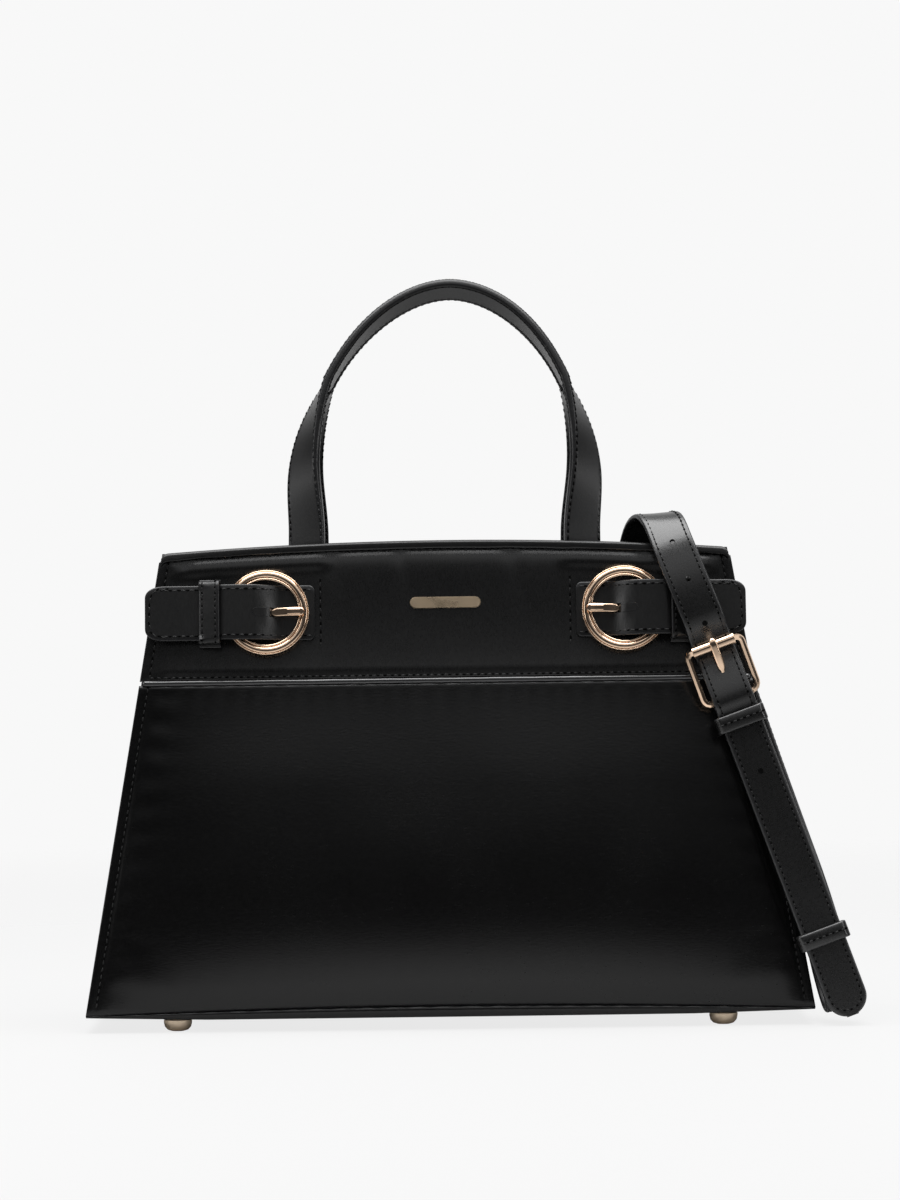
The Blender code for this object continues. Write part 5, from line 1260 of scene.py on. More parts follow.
def cut_slot(obj, centre, axes, sizes):
    """Punches a slot with rounded ends, as a prong needs. The slot's length runs along axes[0]."""
    length, width, depth = sizes
    along, across, down = axes
    radius = width / 2
    outline = []
    for end, turn_from in ((1, -90), (-1, 90)):
        for degrees in spread(turn_from, turn_from + 180, 8):
            turn = math.radians(degrees)
            place = end * (length / 2 - radius) + radius * math.cos(turn)
            outline.append(centre + along * place + across * radius * math.sin(turn))
    rings = [[point + down * height for point in outline] for height in (-depth / 2, depth / 2)]
    cutter = skin("slot_cutter", rings, STRAP_LEATHER)
    cut = obj.modifiers.new("slot", "BOOLEAN")
    cut.operation = "DIFFERENCE"
    cut.solver = "EXACT"
    cut.object = cutter
    graph = bpy.context.evaluated_depsgraph_get()
    mesh = bpy.data.meshes.new_from_object(obj.evaluated_get(graph))
    mesh.set_sharp_from_angle(angle=math.radians(50))
    obj.modifiers.clear()
    obj.data = mesh
    bpy.data.objects.remove(cutter)


def crease(s, v):
    """The leather is pushed up a little where the prong comes through."""
    return 0.0006 * hump(s, -0.0002, 0.0026) * hump(v, 0.0, 0.0042)


def belt(word, frame):
    count = 110
    start, stop = BELT_CORNER - BELT_INNER_REACH, BELT_OUTER_REACH - BELT_TIP
    corner_turns = spread(0, math.pi / 2, BELT_CORNER_STEPS)[:-1]
    tip_turns = spread(0, math.pi / 2, 16)[1:]
    stations = [start - BELT_CORNER * math.cos(turn) for turn in corner_turns]
    stations += spread(start, stop, count)
    stations += [stop + BELT_TIP * math.sin(turn) for turn in tip_turns]
    path = [frame.at(s, 0, belt_out(s)) for s in stations]

    def width_at(index):
        """The tip is rounded and the inner end has small round corners."""
        over = max(0.0, stations[index] - stop) / BELT_TIP
        under = max(0.0, start - stations[index]) / BELT_CORNER
        corners = 2 * BELT_CORNER * (1 - math.sqrt(max(0.0, 1 - under**2)))
        return BELT_WIDTH * (1 - 0.42 * (1 - math.sqrt(max(0.0, 1 - over**2.4)))) - corners

    across = [frame.up] * len(path)
    section = (width_at, lambda _: BELT_THICKNESS)
    piece = band(f"{word}_yoke_belt", path, across, *section, BELT_LEATHER)
    axes = (frame.along, frame.up, frame.out)
    for vertex in piece.data.vertices:
        s = (vertex.co - frame.origin).dot(frame.along)
        v = (vertex.co - frame.origin).dot(frame.up)
        vertex.co += frame.out * crease(s, v)
    slot_middle, slot_length = (SLOT_START + SLOT_STOP) / 2, SLOT_STOP - SLOT_START
    cut_slot(piece, frame.at(slot_middle, 0, 0.003), axes, (slot_length, SLOT_WIDTH, 0.03))
    dress(piece, f"{word}_belt")
    face = 1 if frames_of(path, across)[0][1].dot(frame.out) > 0 else -1
    last = BELT_CORNER_STEPS + count
    rows = strap_rows(path, across, *section, BELT_INSET, (face,), BELT_CORNER_STEPS, last)
    closing = []
    for degrees in spread(-88, 88, 24):
        turn = math.radians(degrees)
        v = math.copysign(abs(math.sin(turn)) ** 0.62, turn) * (BELT_WIDTH / 2 - TIP_INSET)
        s = stop + (BELT_TIP - 0.0019) * math.cos(turn) ** 0.55
        closing.append((frame.at(s, v, belt_out(s) + BELT_THICKNESS / 2), frame.out))
    stitches(f"{word}_belt_stitches", rows + [closing], pitch=0.0036, seed=5)


def chape(word, frame):
    low = YOKE_CLEARANCE + CHAPE_THICKNESS / 2
    bar = RING_MEAN_RADIUS - 0.0010
    reach = RING_WIRE_RADIAL / 2 + 2 * SEAM_GAP + CHAPE_THICKNESS / 2 + 0.0004
    tall = RING_WIRE_AXIAL / 2 + 2 * SEAM_GAP + CHAPE_THICKNESS / 2
    second = low + CHAPE_THICKNESS + SEAM_GAP
    far = CHAPE_REACH - 0.0004
    corner = [far - CHAPE_CORNER * (1 - math.sin(math.pi / 2 * step / 6)) for step in range(7)]
    points = [(s, low) for s in reversed(corner)] + [(bar + 0.012, low), (bar + 0.006, low)]
    for step in range(25):
        turn = math.radians(-90 - 7.5 * step)
        points.append((bar + reach * math.cos(turn), RING_OUT + tall * math.sin(turn)))
    beyond = RING_OUTER_RADIUS + 2 * SEAM_GAP + CHAPE_THICKNESS
    points += [(RING_MEAN_RADIUS + 0.0014, RING_OUT + tall * 0.92), (beyond, RING_OUT + 0.0004)]
    points.append((beyond + 0.0032, second + 0.0001))
    full = len(points)
    points += [(s, second) for s in corner]
    path = [frame.at(s, 0, u) for s, u in points]

    def width_at(index):
        at_end = index < 7 or index >= full
        over = min((points[index][0] - far) / CHAPE_CORNER + 1, 0.99) if at_end else 0.0
        return CHAPE_WIDTH - 2 * CHAPE_CORNER * (1 - math.sqrt(1 - over**2))

    section = (width_at, lambda _: CHAPE_THICKNESS)
    piece = band(f"{word}_ring_chape", path, [frame.up] * len(path), *section, BELT_LEATHER)
    axes = (frame.along, frame.up, frame.out)
    slot_at = frame.at(RING_MEAN_RADIUS - 0.0014, 0, RING_OUT)
    cut_slot(piece, slot_at, axes, (0.0110, SLOT_WIDTH + 0.0010, 0.02))
    dress(piece, f"{word}_chape")
    row = spread(beyond + 0.0036, far - CHAPE_INSET, 6)
    high = second + CHAPE_THICKNESS / 2
    edge = CHAPE_WIDTH / 2 - CHAPE_INSET
    rows = [[(frame.at(s, v, high), frame.out) for s in row] for v in (-edge, edge)]
    stitches(f"{word}_chape_stitches", rows, pitch=0.0030, seed=11)


def belt_keeper(word, frame):
    low = YOKE_CLEARANCE + KEEPER_THICKNESS / 2
    near = belt_out(BELT_KEEPER_REACH - BELT_KEEPER_WIDTH / 2)
    high = (near + BELT_REST) / 2 + BELT_THICKNESS / 2 + 2 * SEAM_GAP + KEEPER_THICKNESS / 2
    wide = BELT_WIDTH / 2 + 2 * SEAM_GAP + KEEPER_THICKNESS / 2
    foot = wide + 0.0016
    half = [(-foot, low), (-wide - 0.0008, low), (-wide - 0.0002, low + 0.0003), (-wide, low + 0.0010)]
    half += [(-wide, high - 0.0018), (-wide + 0.0003, high - 0.0008)]
    half += [(-wide + 0.0009, high - 0.0002), (-wide + 0.0019, high)]
    half += [(-wide * (1 - step / 6) * 0.85, high + 0.00005 * step) for step in range(6)]
    points = half + [(0.0, high + 0.0003)] + [(-v, u) for v, u in reversed(half)]
    path = [frame.at(BELT_KEEPER_REACH, v, u) for v, u in points]
    slope = frame.along - frame.out * (near - BELT_REST) / BELT_KEEPER_WIDTH
    across = [slope if u > low + 0.0012 else frame.along for _, u in points]
    section = (lambda _: BELT_KEEPER_WIDTH, lambda _: KEEPER_PADDING * KEEPER_THICKNESS)
    piece = band(f"{word}_belt_loop", path, across, *section, BELT_LEATHER)
    dress(piece, f"{word}_belt_keeper")
    middle = frames_of(path, across)[len(path) // 2][1]
    face = 1 if middle.dot(frame.out) > 0 else -1
    rows = strap_rows(path, across, *section, KEEPER_INSET, (face,), 5, len(path) - 6)
    stitches(f"{word}_belt_loop_stitches", rows, pitch=0.0026, seed=9)


RING_BEADS = (  # centre out, height, half width and half height: outer bead, main band, inner bead
    (0.00188, 0.00020, 0.00037, 0.00060),
    (0.00026, 0.00080, 0.00118, 0.00060),
    (-0.00166, 0.00040, 0.00058, 0.00060),
)
RING_GROOVES = ((0.00148, 0.0001), (-0.00100, 0.0001))


def round_ring(word, frame):
    """A cast ring: its face has a main band with a fine bead on each side."""
    outline = []
    for index, (centre, height, wide, tall) in enumerate(RING_BEADS):
        for step in range(13):
            turn = math.radians(15 * step)
            outline.append((centre + wide * math.cos(turn), height + tall * math.sin(turn)))
        outline += RING_GROOVES[index : index + 1]
    half, deep = RING_WIRE_RADIAL / 2, RING_WIRE_AXIAL / 2
    outline += [(-half, -0.4 * deep), (-0.8 * half, -0.8 * deep), (-0.45 * half, -deep)]
    outline += [(0.45 * half, -deep), (0.8 * half, -0.8 * deep), (half, -0.4 * deep)]
    outline = [(RING_MEAN_RADIUS + radius, RING_OUT + out) for radius, out in outline]
    rings = []
    for turn in circle(112):
        along, up = math.cos(turn), math.sin(turn)
        rings.append([frame.at(radius * along, radius * up, out) for radius, out in outline])
    piece = skin(f"{word}_round_ring", rings, GOLD, closed=True)
    sharpen(piece, 60)
    dress(piece, f"{word}_ring", body=f"{word}_ring_body")


def rounded(over):
    """Share of the width that is left at this share of a rounded end."""
    over = min(max(over, 0.0), 1.0)
    return math.sqrt(1 - 0.7 * over * over)


ROOT_WIDTH, ROOT_THICKNESS = 0.0029, 0.0009
PRONG_THICKNESS = 0.0019


def bar_prong(name, path, across, width_at, loop, node, body, thick_at=lambda _: PRONG_THICKNESS):
    """A flat prong, and the small band that turns on its bar."""
    piece = band(name, path, across, width_at, thick_at, GOLD)
    sharpen(piece, 50)
    dress(piece, node, body=body)
    section = (lambda _: ROOT_WIDTH, lambda _: ROOT_THICKNESS)
    root = band(f"{name}_root", loop, [across[0]] * len(loop), *section, GOLD, closed=True)
    attach(root, body)


def slot_lip(word, frame, body):
    """It covers the outer end of the belt's slot, and rides on the prong."""
    stop = SLOT_STOP - 0.00005
    lip = [LIP_START + (stop - LIP_START) * math.sin(turn) for turn in spread(0, math.pi / 2, 14)]
    flush = (BELT_THICKNESS - LIP_THICKNESS) / 2
    path = [frame.at(s, 0, belt_out(s) + flush + crease(s, 0)) for s in lip]
    round_end = SLOT_WIDTH / 2

    def width_at(index):
        over = max(0.0, lip[index] - (SLOT_STOP - round_end)) / round_end
        return (SLOT_WIDTH - 0.00006) * max(math.sqrt(max(0.0, 1 - over**2)), 0.15)

    section = (width_at, lambda _: LIP_THICKNESS)
    cover = band(f"{word}_slot_lip", path, [frame.up] * len(lip), *section, BELT_LEATHER)
    attach(cover, body)


def belt_prong(word, frame):
    """It comes up through the belt and lies over the ring's inner side."""
    wire = RING_WIRE_RADIAL / 2 + 0.0004
    rest = RING_OUT + RING_WIRE_AXIAL / 2 + SEAM_GAP + 0.0010
    route = [(RING_MEAN_RADIUS - wire - 0.0004, RING_OUT), (0.0070, 0.0031), (0.0018, 0.0030)]
    route += [(-0.0024, 0.0036), (-0.0060, 0.0050), (-0.0100, rest - 0.0004), (-0.0130, rest)]
    route.append((-0.0162, rest - 0.0001))
    path = [frame.at(p.x, 0, p.y) for p in smooth_path([Vector(point) for point in route], 6)]
    wide = [frame.up] * len(path)
    reach = [(p - frame.origin).dot(frame.along) for p in path]
    thick_at = lambda i: PRONG_THICKNESS - 0.0007 * ease(reach[i], -0.0010, 0.0015)

    def width_at(index):
        """It is rounded at both ends, and narrower where it is under the belt."""
        waist = 0.0038 * (1 - 0.36 * ease(reach[index], -0.0005, 0.0025))
        ends = rounded((reach[index] + 0.0048) / 0.0022) * rounded((-0.0146 - reach[index]) / 0.0016)
        return waist * ends

    loop = []
    for turn in circle(28):
        s = RING_MEAN_RADIUS + (wire + 0.00045) * math.cos(turn)
        loop.append(frame.at(s, 0, RING_OUT + (RING_WIRE_AXIAL / 2 + 0.00087) * math.sin(turn)))
    body = f"{word}_prong_body"
    bar_prong(f"{word}_flat_prong", path, wide, width_at, loop, f"{word}_prong", body, thick_at)
    slot_lip(word, frame, body)
    raised = [point + frame.out * 0.0009 for point, s in zip(path, reach) if -0.0150 < s < -0.0092]
    section = (lambda _: 0.0024, lambda _: 0.0011)
    ridge = band(f"{word}_prong_ridge", raised, wide[: len(raised)], *section, GOLD)
    sharpen(ridge, 50)
    attach(ridge, body)


for word, side in SIDES:
    yoke_frame = YokeFrame(side)
    belt(word, yoke_frame)
    chape(word, yoke_frame)
    belt_keeper(word, yoke_frame)
    round_ring(word, yoke_frame)
    belt_prong(word, yoke_frame)
print("belts done")

# %% [markdown]
# ## Crossbody strap
# The long strap is in two parts. One hangs in front with its pointed end, runs up through
# the roller buckle, over the rim and inside to a swivel hook. The other is folded round
# the buckle's bar, hangs behind the first, comes back up the side and goes inside to the
# second hook. Each part is one section carried along one smooth path.

# %% Crossbody strap
STRAP_WIDTH, STRAP_THICKNESS = 0.0178, 0.0026
STRAP_START = (0.0985, 0.2047)
STRAP_LEAN, STRAP_FALL_OUT = 0.360528, 0.068
STRAP_LOWER_Y, STRAP_LOWER_Z = -0.0513, 0.140
BUCKLE_Z, BUCKLE_Y, BUCKLE_BAR_LIFT = 0.1585, -0.0550, 0.0006
BUCKLE_LENGTH, BUCKLE_WIRE_RADIUS, ROLLER_RADIUS = 0.024, 0.00145, 0.0025
FOLD_THICKNESS = 0.0012
FIXED_KEEPER_Z, SLIDING_KEEPER_Z, STRAP_KEEPER_WIDTH = 0.1266, 0.0330, 0.0072
TIP_CENTRE_Z = 0.0078
HOLE_RADIUS, HOLE_SPACING = 0.0012, 0.0208
DRING_DROP, DRING_WIRE_RADIUS, DRING_Z, DRING_INSET = 0.013, 0.0013, 0.1865, 0.0052
HOOK_LOOP_RADIUS, HOOK_WIRE_RADIUS, HOOK_LENGTH = 0.0060, 0.0015, 0.020
EYE_HEIGHT, EYE_WIRE_RADIUS = 0.010, 0.0013


def strap_lower(z):
    x = STRAP_START[0] + (STRAP_START[1] - z) * STRAP_LEAN
    return Vector((x, STRAP_LOWER_Y - (STRAP_LOWER_Z - z) * STRAP_FALL_OUT, z))


def strap_upper(z):
    return strap_lower(z) + Vector((0, -(STRAP_THICKNESS + SEAM_GAP), 0))


def to_front(normal):
    """The direction of a normal that points towards the camera's side."""
    normal = normal.normalized()
    return -normal if normal.y > 0 else normal


STRAP_DOWN = (strap_lower(0.0) - strap_lower(0.1)).normalized()
STRAP_ACROSS = Vector((1, 0, STRAP_LEAN)).normalized()
STRAP_OUT = to_front(STRAP_DOWN.cross(STRAP_ACROSS))
ROLLER_CENTRE = Vector((strap_lower(BUCKLE_Z).x, BUCKLE_Y, BUCKLE_Z))
BAR_NEARBY = strap_lower(BUCKLE_Z - BUCKLE_LENGTH * 0.94) + STRAP_OUT * BUCKLE_BAR_LIFT
BUCKLE_DOWN = (BAR_NEARBY - ROLLER_CENTRE).normalized()
BUCKLE_OUT = to_front(STRAP_ACROSS.cross(BUCKLE_DOWN))


def buckle_point(down, out=0.0, across=0.0):
    return ROLLER_CENTRE + BUCKLE_DOWN * down + BUCKLE_OUT * out + STRAP_ACROSS * across


def blend_across(count, marks):
    """Width directions that change smoothly between marks, given as index and vector."""
    found = []
    for index in range(count):
        before = max((mark for mark in marks if mark[0] <= index), key=lambda mark: mark[0])
        after = min((mark for mark in marks if mark[0] >= index), key=lambda mark: mark[0])
        share = ease(index, before[0], after[0]) if after[0] > before[0] else 0.0
        found.append(before[1].lerp(after[1], share).normalized())
    return found


def eye_fold(side):
    """The strap's thinned end goes up outside the eye's bar, over it and down again."""
    bar_x = side * (lining_wall(DRING_Z) - DRING_INSET)
    hang = DRING_DROP - DRING_WIRE_RADIUS - SEAM_GAP + HOOK_LOOP_RADIUS - HOOK_WIRE_RADIUS
    bar_z = DRING_Z - hang - HOOK_LENGTH - SEAM_GAP - EYE_WIRE_RADIUS - EYE_HEIGHT
    bar = Vector((bar_x, 0, bar_z))
    wrap = EYE_WIRE_RADIUS + SEAM_GAP + FOLD_THICKNESS / 2
    end = [bar + Vector((side * 0.0022, 0, -0.0066)), bar + Vector((side * (wrap - 0.0001), 0, -0.0028))]
    for degrees in range(0, 181, 10):
        turn = math.radians(degrees)
        end.append(bar + Vector((side * wrap * math.cos(turn), 0, wrap * math.sin(turn))))
    end.append(bar + Vector((-side * (wrap - 0.0001), 0, -0.0028)))
    return end


STRAP_INSET = 0.0021  # from the strap's edges to its rows
FINE = 6  # spans between two given points of a strap's path
HOLE = (2.02 * HOLE_RADIUS, 2 * HOLE_RADIUS)
TOP_HOLE_Z = 0.2036
TIP_INSIDE = (  # the tip part's way over the rim and inside to the left hook
    (0.1104, -0.0545, 0.1720),
    (0.1041, -0.0530, 0.1880),
    (0.0985, -0.0478, 0.2030),
    (0.0948, -0.0380, 0.2128),
    (0.0910, -0.0272, 0.2146),
    (0.0868, -0.0190, 0.2070),
    (0.0830, -0.0150, 0.1900),
    (0.0760, -0.0140, 0.1600),
    (0.0600, -0.0160, 0.1260),
    (0.0330, -0.0180, 0.0980),
    (0.0, -0.0190, 0.0860),
    (-0.0380, -0.0180, 0.0860),
    (-0.0720, -0.0140, 0.0970),
    (-0.0930, -0.0070, 0.1140),
    (-0.1010, -0.0015, 0.1240),
)
BUCKLE_RETURN = (  # the buckle part's loop at the corner, and its way up and inside to the right hook
    (0.1690, -0.0586, 0.0090),
    (0.1700, -0.0560, 0.0050),
    (0.1698, -0.0510, 0.0036),
    (0.1690, -0.0450, 0.0052),
    (0.1672, -0.0370, 0.0130),
    (0.1630, -0.0270, 0.0320),
    (0.1570, -0.0160, 0.0620),
    (0.1490, -0.0070, 0.0950),
    (0.1390, -0.0020, 0.1280),
    (0.1285, 0.0, 0.1580),
    (0.1205, 0.0, 0.1800),
    (0.1170, 0.0, 0.1930),
    (0.1120, 0.0, 0.1992),
    (0.1030, 0.0, 0.1968),
    (0.0965, 0.0, 0.1830),
    (0.0935, 0.0, 0.1600),
    (0.0940, 0.0, 0.1420),
    (0.0972, 0.0, 0.1340),
)


def tip_strap():
    under_roller = -(ROLLER_RADIUS + STRAP_THICKNESS / 2 + SEAM_GAP)
    over_bar = BUCKLE_WIRE_RADIUS + FOLD_THICKNESS + STRAP_THICKNESS / 2 + 3 * SEAM_GAP
    tip_end = TIP_CENTRE_Z - STRAP_WIDTH / 2 * 0.94
    shares = (0.0, 0.06, 0.2, 0.42, 0.7, 1.0)
    points = [strap_upper(tip_end + STRAP_WIDTH / 2 * share) for share in shares]
    points += [strap_upper(z) for z in (0.030, 0.060, 0.090, 0.112, 0.120, FIXED_KEEPER_Z)]
    points += [
        buckle_point(BUCKLE_LENGTH + 0.0040, over_bar - 0.0006),
        buckle_point(BUCKLE_LENGTH, over_bar),
        buckle_point(BUCKLE_LENGTH - 0.0060, over_bar - 0.0020),
        buckle_point(BUCKLE_LENGTH * 0.42, under_roller * 0.25),
        buckle_point(0.0045, under_roller * 0.97),
        buckle_point(0.0, under_roller),
        buckle_point(-0.0060, under_roller),
    ]
    first_inside = len(points)
    points += [Vector(point) for point in TIP_INSIDE]
    path = smooth_path(points, FINE)
    fold = eye_fold(-1)
    thick = [STRAP_THICKNESS] * len(path) + [FOLD_THICKNESS] * len(fold)
    path += fold
    marks = [
        (0, STRAP_ACROSS),
        (FINE * (first_inside + 2), STRAP_ACROSS),
        (FINE * (first_inside + 4), Vector((0.93, 0.12, 0.05))),
        (FINE * (first_inside + 6), Vector((0.97, 0.0, -0.22))),
        (FINE * (first_inside + 9), Vector((0.25, 0.95, 0.0))),
        (FINE * (first_inside + 10), Vector((0.0, 1.0, 0.0))),
        (len(path) - 1, Vector((0.0, 1.0, 0.0))),
    ]
    across = blend_across(len(path), marks)

    def width_at(index):
        from_tip = (path[index] - path[0]).length
        over = max(0.0, 1 - from_tip / (STRAP_WIDTH / 2))
        return STRAP_WIDTH * max(math.sqrt(max(0.0, 1 - over**2)), 0.30)

    section = (width_at, lambda i: thick[i])
    piece = band("strap_with_tip", path, across, *section, STRAP_LEATHER)
    hole_at = BUCKLE_LENGTH * 0.43
    axes = (BUCKLE_DOWN, STRAP_ACROSS, BUCKLE_OUT)
    cut_slot(piece, buckle_point(hole_at - 0.0022), axes, (0.0060, 0.0036, 0.02))
    for spaces in (-2, -1, 2.32):
        centre = buckle_point(hole_at + HOLE_SPACING * spaces) + STRAP_OUT * 0.004
        cut_slot(piece, centre, (STRAP_DOWN, STRAP_ACROSS, STRAP_OUT), (*HOLE, 0.032))
    bend = range(FINE * first_inside, FINE * (first_inside + 4))
    top_hole = min(bend, key=lambda i: abs(path[i].z - TOP_HOLE_Z))
    wide, out = frames_of(path, across)[top_hole]
    outside = out if out.z > 0 else -out
    axes = (wide.cross(out), wide, out)
    cut_slot(piece, path[top_hole] + outside * 0.0034, axes, (*HOLE, 0.006))
    dress(piece, "strap_tip_part")
    sewn_to = len(path) - len(fold) - 4
    rows = strap_rows(path, across, *section, STRAP_INSET, (-1, 1), FINE * 5, sewn_to)
    closing = []
    reach = STRAP_WIDTH / 2 - STRAP_INSET
    middle = strap_upper(TIP_CENTRE_Z + 0.0003) + STRAP_OUT * STRAP_THICKNESS / 2
    for turn in spread(0, math.pi, 16):
        beside = STRAP_ACROSS * reach * math.cos(turn)
        below = STRAP_DOWN * reach * 0.95 * math.sin(turn)
        closing.append((middle + beside + below, STRAP_OUT))
    stitches("tip_strap_stitches", rows + [closing], pitch=0.0027, seed=13)


def buckle_strap():
    wrap = BUCKLE_WIRE_RADIUS + SEAM_GAP + FOLD_THICKNESS / 2
    flap = STRAP_THICKNESS / 2 + SEAM_GAP + FOLD_THICKNESS / 2
    points = [strap_lower(z) - STRAP_OUT * flap for z in (0.1205, FIXED_KEEPER_Z + 0.001)]
    for step in range(25):
        turn = math.radians(-90 - 7.5 * step)
        points.append(buckle_point(BUCKLE_LENGTH + wrap * math.cos(turn), wrap * math.sin(turn)))
    thick = [FOLD_THICKNESS] * len(points)
    points.append(buckle_point(BUCKLE_LENGTH + 0.0036, wrap - 0.0011))
    thick.append(FOLD_THICKNESS * 1.2)
    hanging = [strap_lower(z) for z in (FIXED_KEEPER_Z, 0.120, 0.112, 0.085, 0.055, 0.030, 0.018)]
    hanging += [Vector(point) for point in BUCKLE_RETURN]
    start = len(points)
    path = points + smooth_path(hanging, FINE)
    thick += [STRAP_THICKNESS] * (len(path) - start)
    sewn_to = len(path) - 3
    fold = eye_fold(1)
    path += fold
    thick += [FOLD_THICKNESS] * len(fold)
    marks = [
        (0, STRAP_ACROSS),
        (start + FINE * 10, STRAP_ACROSS),
        (start + FINE * 15, Vector((0.0, -1.0, 0.0))),
        (len(path) - 1, Vector((0.0, -1.0, 0.0))),
    ]
    across = blend_across(len(path), marks)
    section = (lambda _: STRAP_WIDTH, lambda i: thick[i])
    piece = band("strap_with_buckle", path, across, *section, STRAP_LEATHER)
    axes = (BUCKLE_DOWN, STRAP_ACROSS, BUCKLE_OUT)
    cut_slot(piece, buckle_point(BUCKLE_LENGTH - 0.002), axes, (0.0085, SLOT_WIDTH + 0.0008, 0.02))
    dress(piece, "strap_buckle_part")
    rows = strap_rows(path, across, *section, STRAP_INSET, (-1, 1), start + 3, sewn_to)
    stitches("buckle_strap_stitches", rows, pitch=0.0027, seed=17)


def roller_prong():
    """It leaves the bar under the strap, comes up through a hole and lies over the roller."""
    route = [(BUCKLE_LENGTH - BUCKLE_WIRE_RADIUS - SEAM_GAP - 0.0004, 0.0), (0.0200, 0.0)]
    route += [(0.0140, 0.0003), (0.0105, 0.0011), (0.0075, 0.0024), (0.0040, 0.0034)]
    route += [(0.0, 0.0038), (-0.0022, 0.0034), (-0.0030, 0.0028)]
    path = [buckle_point(*p) for p in smooth_path([Vector(point) for point in route], 6)]
    wide = [STRAP_ACROSS] * len(path)
    reach = [(point - buckle_point(0, 0)).dot(BUCKLE_DOWN) for point in path]

    def width_at(index):
        ends = rounded((reach[index] - 0.0088) / 0.0024) * rounded((-0.0012 - reach[index]) / 0.0018)
        return 0.0033 * ends

    wrap = BUCKLE_WIRE_RADIUS + SEAM_GAP + ROOT_THICKNESS / 2
    loop = [buckle_point(BUCKLE_LENGTH + wrap * math.cos(turn), wrap * math.sin(turn)) for turn in circle(24)]
    bar_prong("roller_buckle_prong", path, wide, width_at, loop, "buckle_prong", "buckle_prong_body")


KEEPER_SWELL = 0.0005  # the padding rises this much in the middle


def strap_keeper(name, z, top_out, bottom_out, node, body):
    """A flat band round both layers of the strap, with rounded corners."""
    centre = strap_lower(z)
    puffed = 1.7 * KEEPER_THICKNESS
    half = STRAP_WIDTH / 2 + 2 * SEAM_GAP + puffed / 2
    top, bottom = top_out + puffed / 2, bottom_out - KEEPER_THICKNESS / 2
    bend = 0.0019
    corners = ((half, top, 0), (-half, top, 90), (-half, bottom, 180), (half, bottom, 270))
    path = []
    for across, out, turn_from in corners:
        for degrees in spread(turn_from, turn_from + 90, 8):
            turn = math.radians(degrees)
            a = across - math.copysign(bend, across) + bend * math.cos(turn)
            b = out - (bend if out == top else -bend) + bend * math.sin(turn)
            path.append(centre + STRAP_ACROSS * a + STRAP_OUT * b)
    wide = [STRAP_DOWN] * len(path)
    thick_at = lambda i: puffed if i < 18 else KEEPER_THICKNESS
    piece = band(name, path, wide, lambda _: STRAP_KEEPER_WIDTH, thick_at, STRAP_LEATHER, closed=True)
    for vertex in piece.data.vertices:
        off = vertex.co - centre
        lift = min(max(off.dot(STRAP_OUT) - top, 0.0) / (puffed / 2), 1.0)
        rim = min(abs(off.dot(STRAP_DOWN)) / (STRAP_KEEPER_WIDTH / 2), 1.0)
        vertex.co += STRAP_OUT * KEEPER_SWELL * lift * (1 - rim**2)
    dress(piece, node, body=body)
    crest = centre + STRAP_OUT * (top + puffed / 2 + KEEPER_SWELL)
    reach = half - 0.0016
    row = [(crest + STRAP_ACROSS * place, STRAP_OUT) for place in spread(-reach, reach, 8)]
    stitches(f"{name}_stitches", [row], body=body, pitch=0.0028, seed=19)


def dring_tab(word, side):
    """A leather tab hangs from the lining's edge and is folded round the ring's straight bar."""
    thick = 0.0012
    bar = lining_wall(DRING_Z) - DRING_INSET
    wrap = DRING_WIRE_RADIUS + SEAM_GAP + thick / 2
    near = lining_wall(DRING_Z + 0.0085) - SEAM_GAP - thick / 2
    lower = lining_wall(DRING_Z + 0.0035) - SEAM_GAP - thick / 2
    points = [(near, 0.0085), (lower, 0.0035), (bar + wrap * 0.9, 0.0014)]
    for degrees in range(0, -181, -10):
        turn = math.radians(degrees)
        points.append((bar + wrap * math.cos(turn), wrap * math.sin(turn)))
    beside = thick + SEAM_GAP
    points += [(bar - wrap * 0.75, 0.0024), (near - beside, 0.0085 - 0.0033), (near - beside, 0.0085)]
    path = [Vector((side * x, 0, DRING_Z + z)) for x, z in points]
    wide = [Vector((0, 1, 0))] * len(path)
    piece = band(f"{word}_ring_tab", path, wide, lambda _: 0.014, lambda _: thick, BELT_LEATHER)
    dress(piece, f"{word}_dring_tab")


tip_strap()
buckle_strap()
roller_prong()
pitch = STRAP_THICKNESS + SEAM_GAP
clear = STRAP_THICKNESS / 2 + SEAM_GAP
strap_keeper("lower_strap_loop", SLIDING_KEEPER_Z, pitch + clear, -clear, "sliding_keeper", "keeper_body")
flap = FOLD_THICKNESS + SEAM_GAP
strap_keeper("upper_strap_loop", FIXED_KEEPER_Z, pitch + clear + 0.0012, -clear - flap, "fixed_keeper", BAG)
for word, side in SIDES:
    dring_tab(word, side)
print("crossbody strap done")

# %% [markdown]
# ## Metal fittings
# The fittings are the frame's own solids. Their meshes are kept as they are. A small tree
# of geometry nodes merges their loose triangles and shades them smooth, except over sharp
# turns.

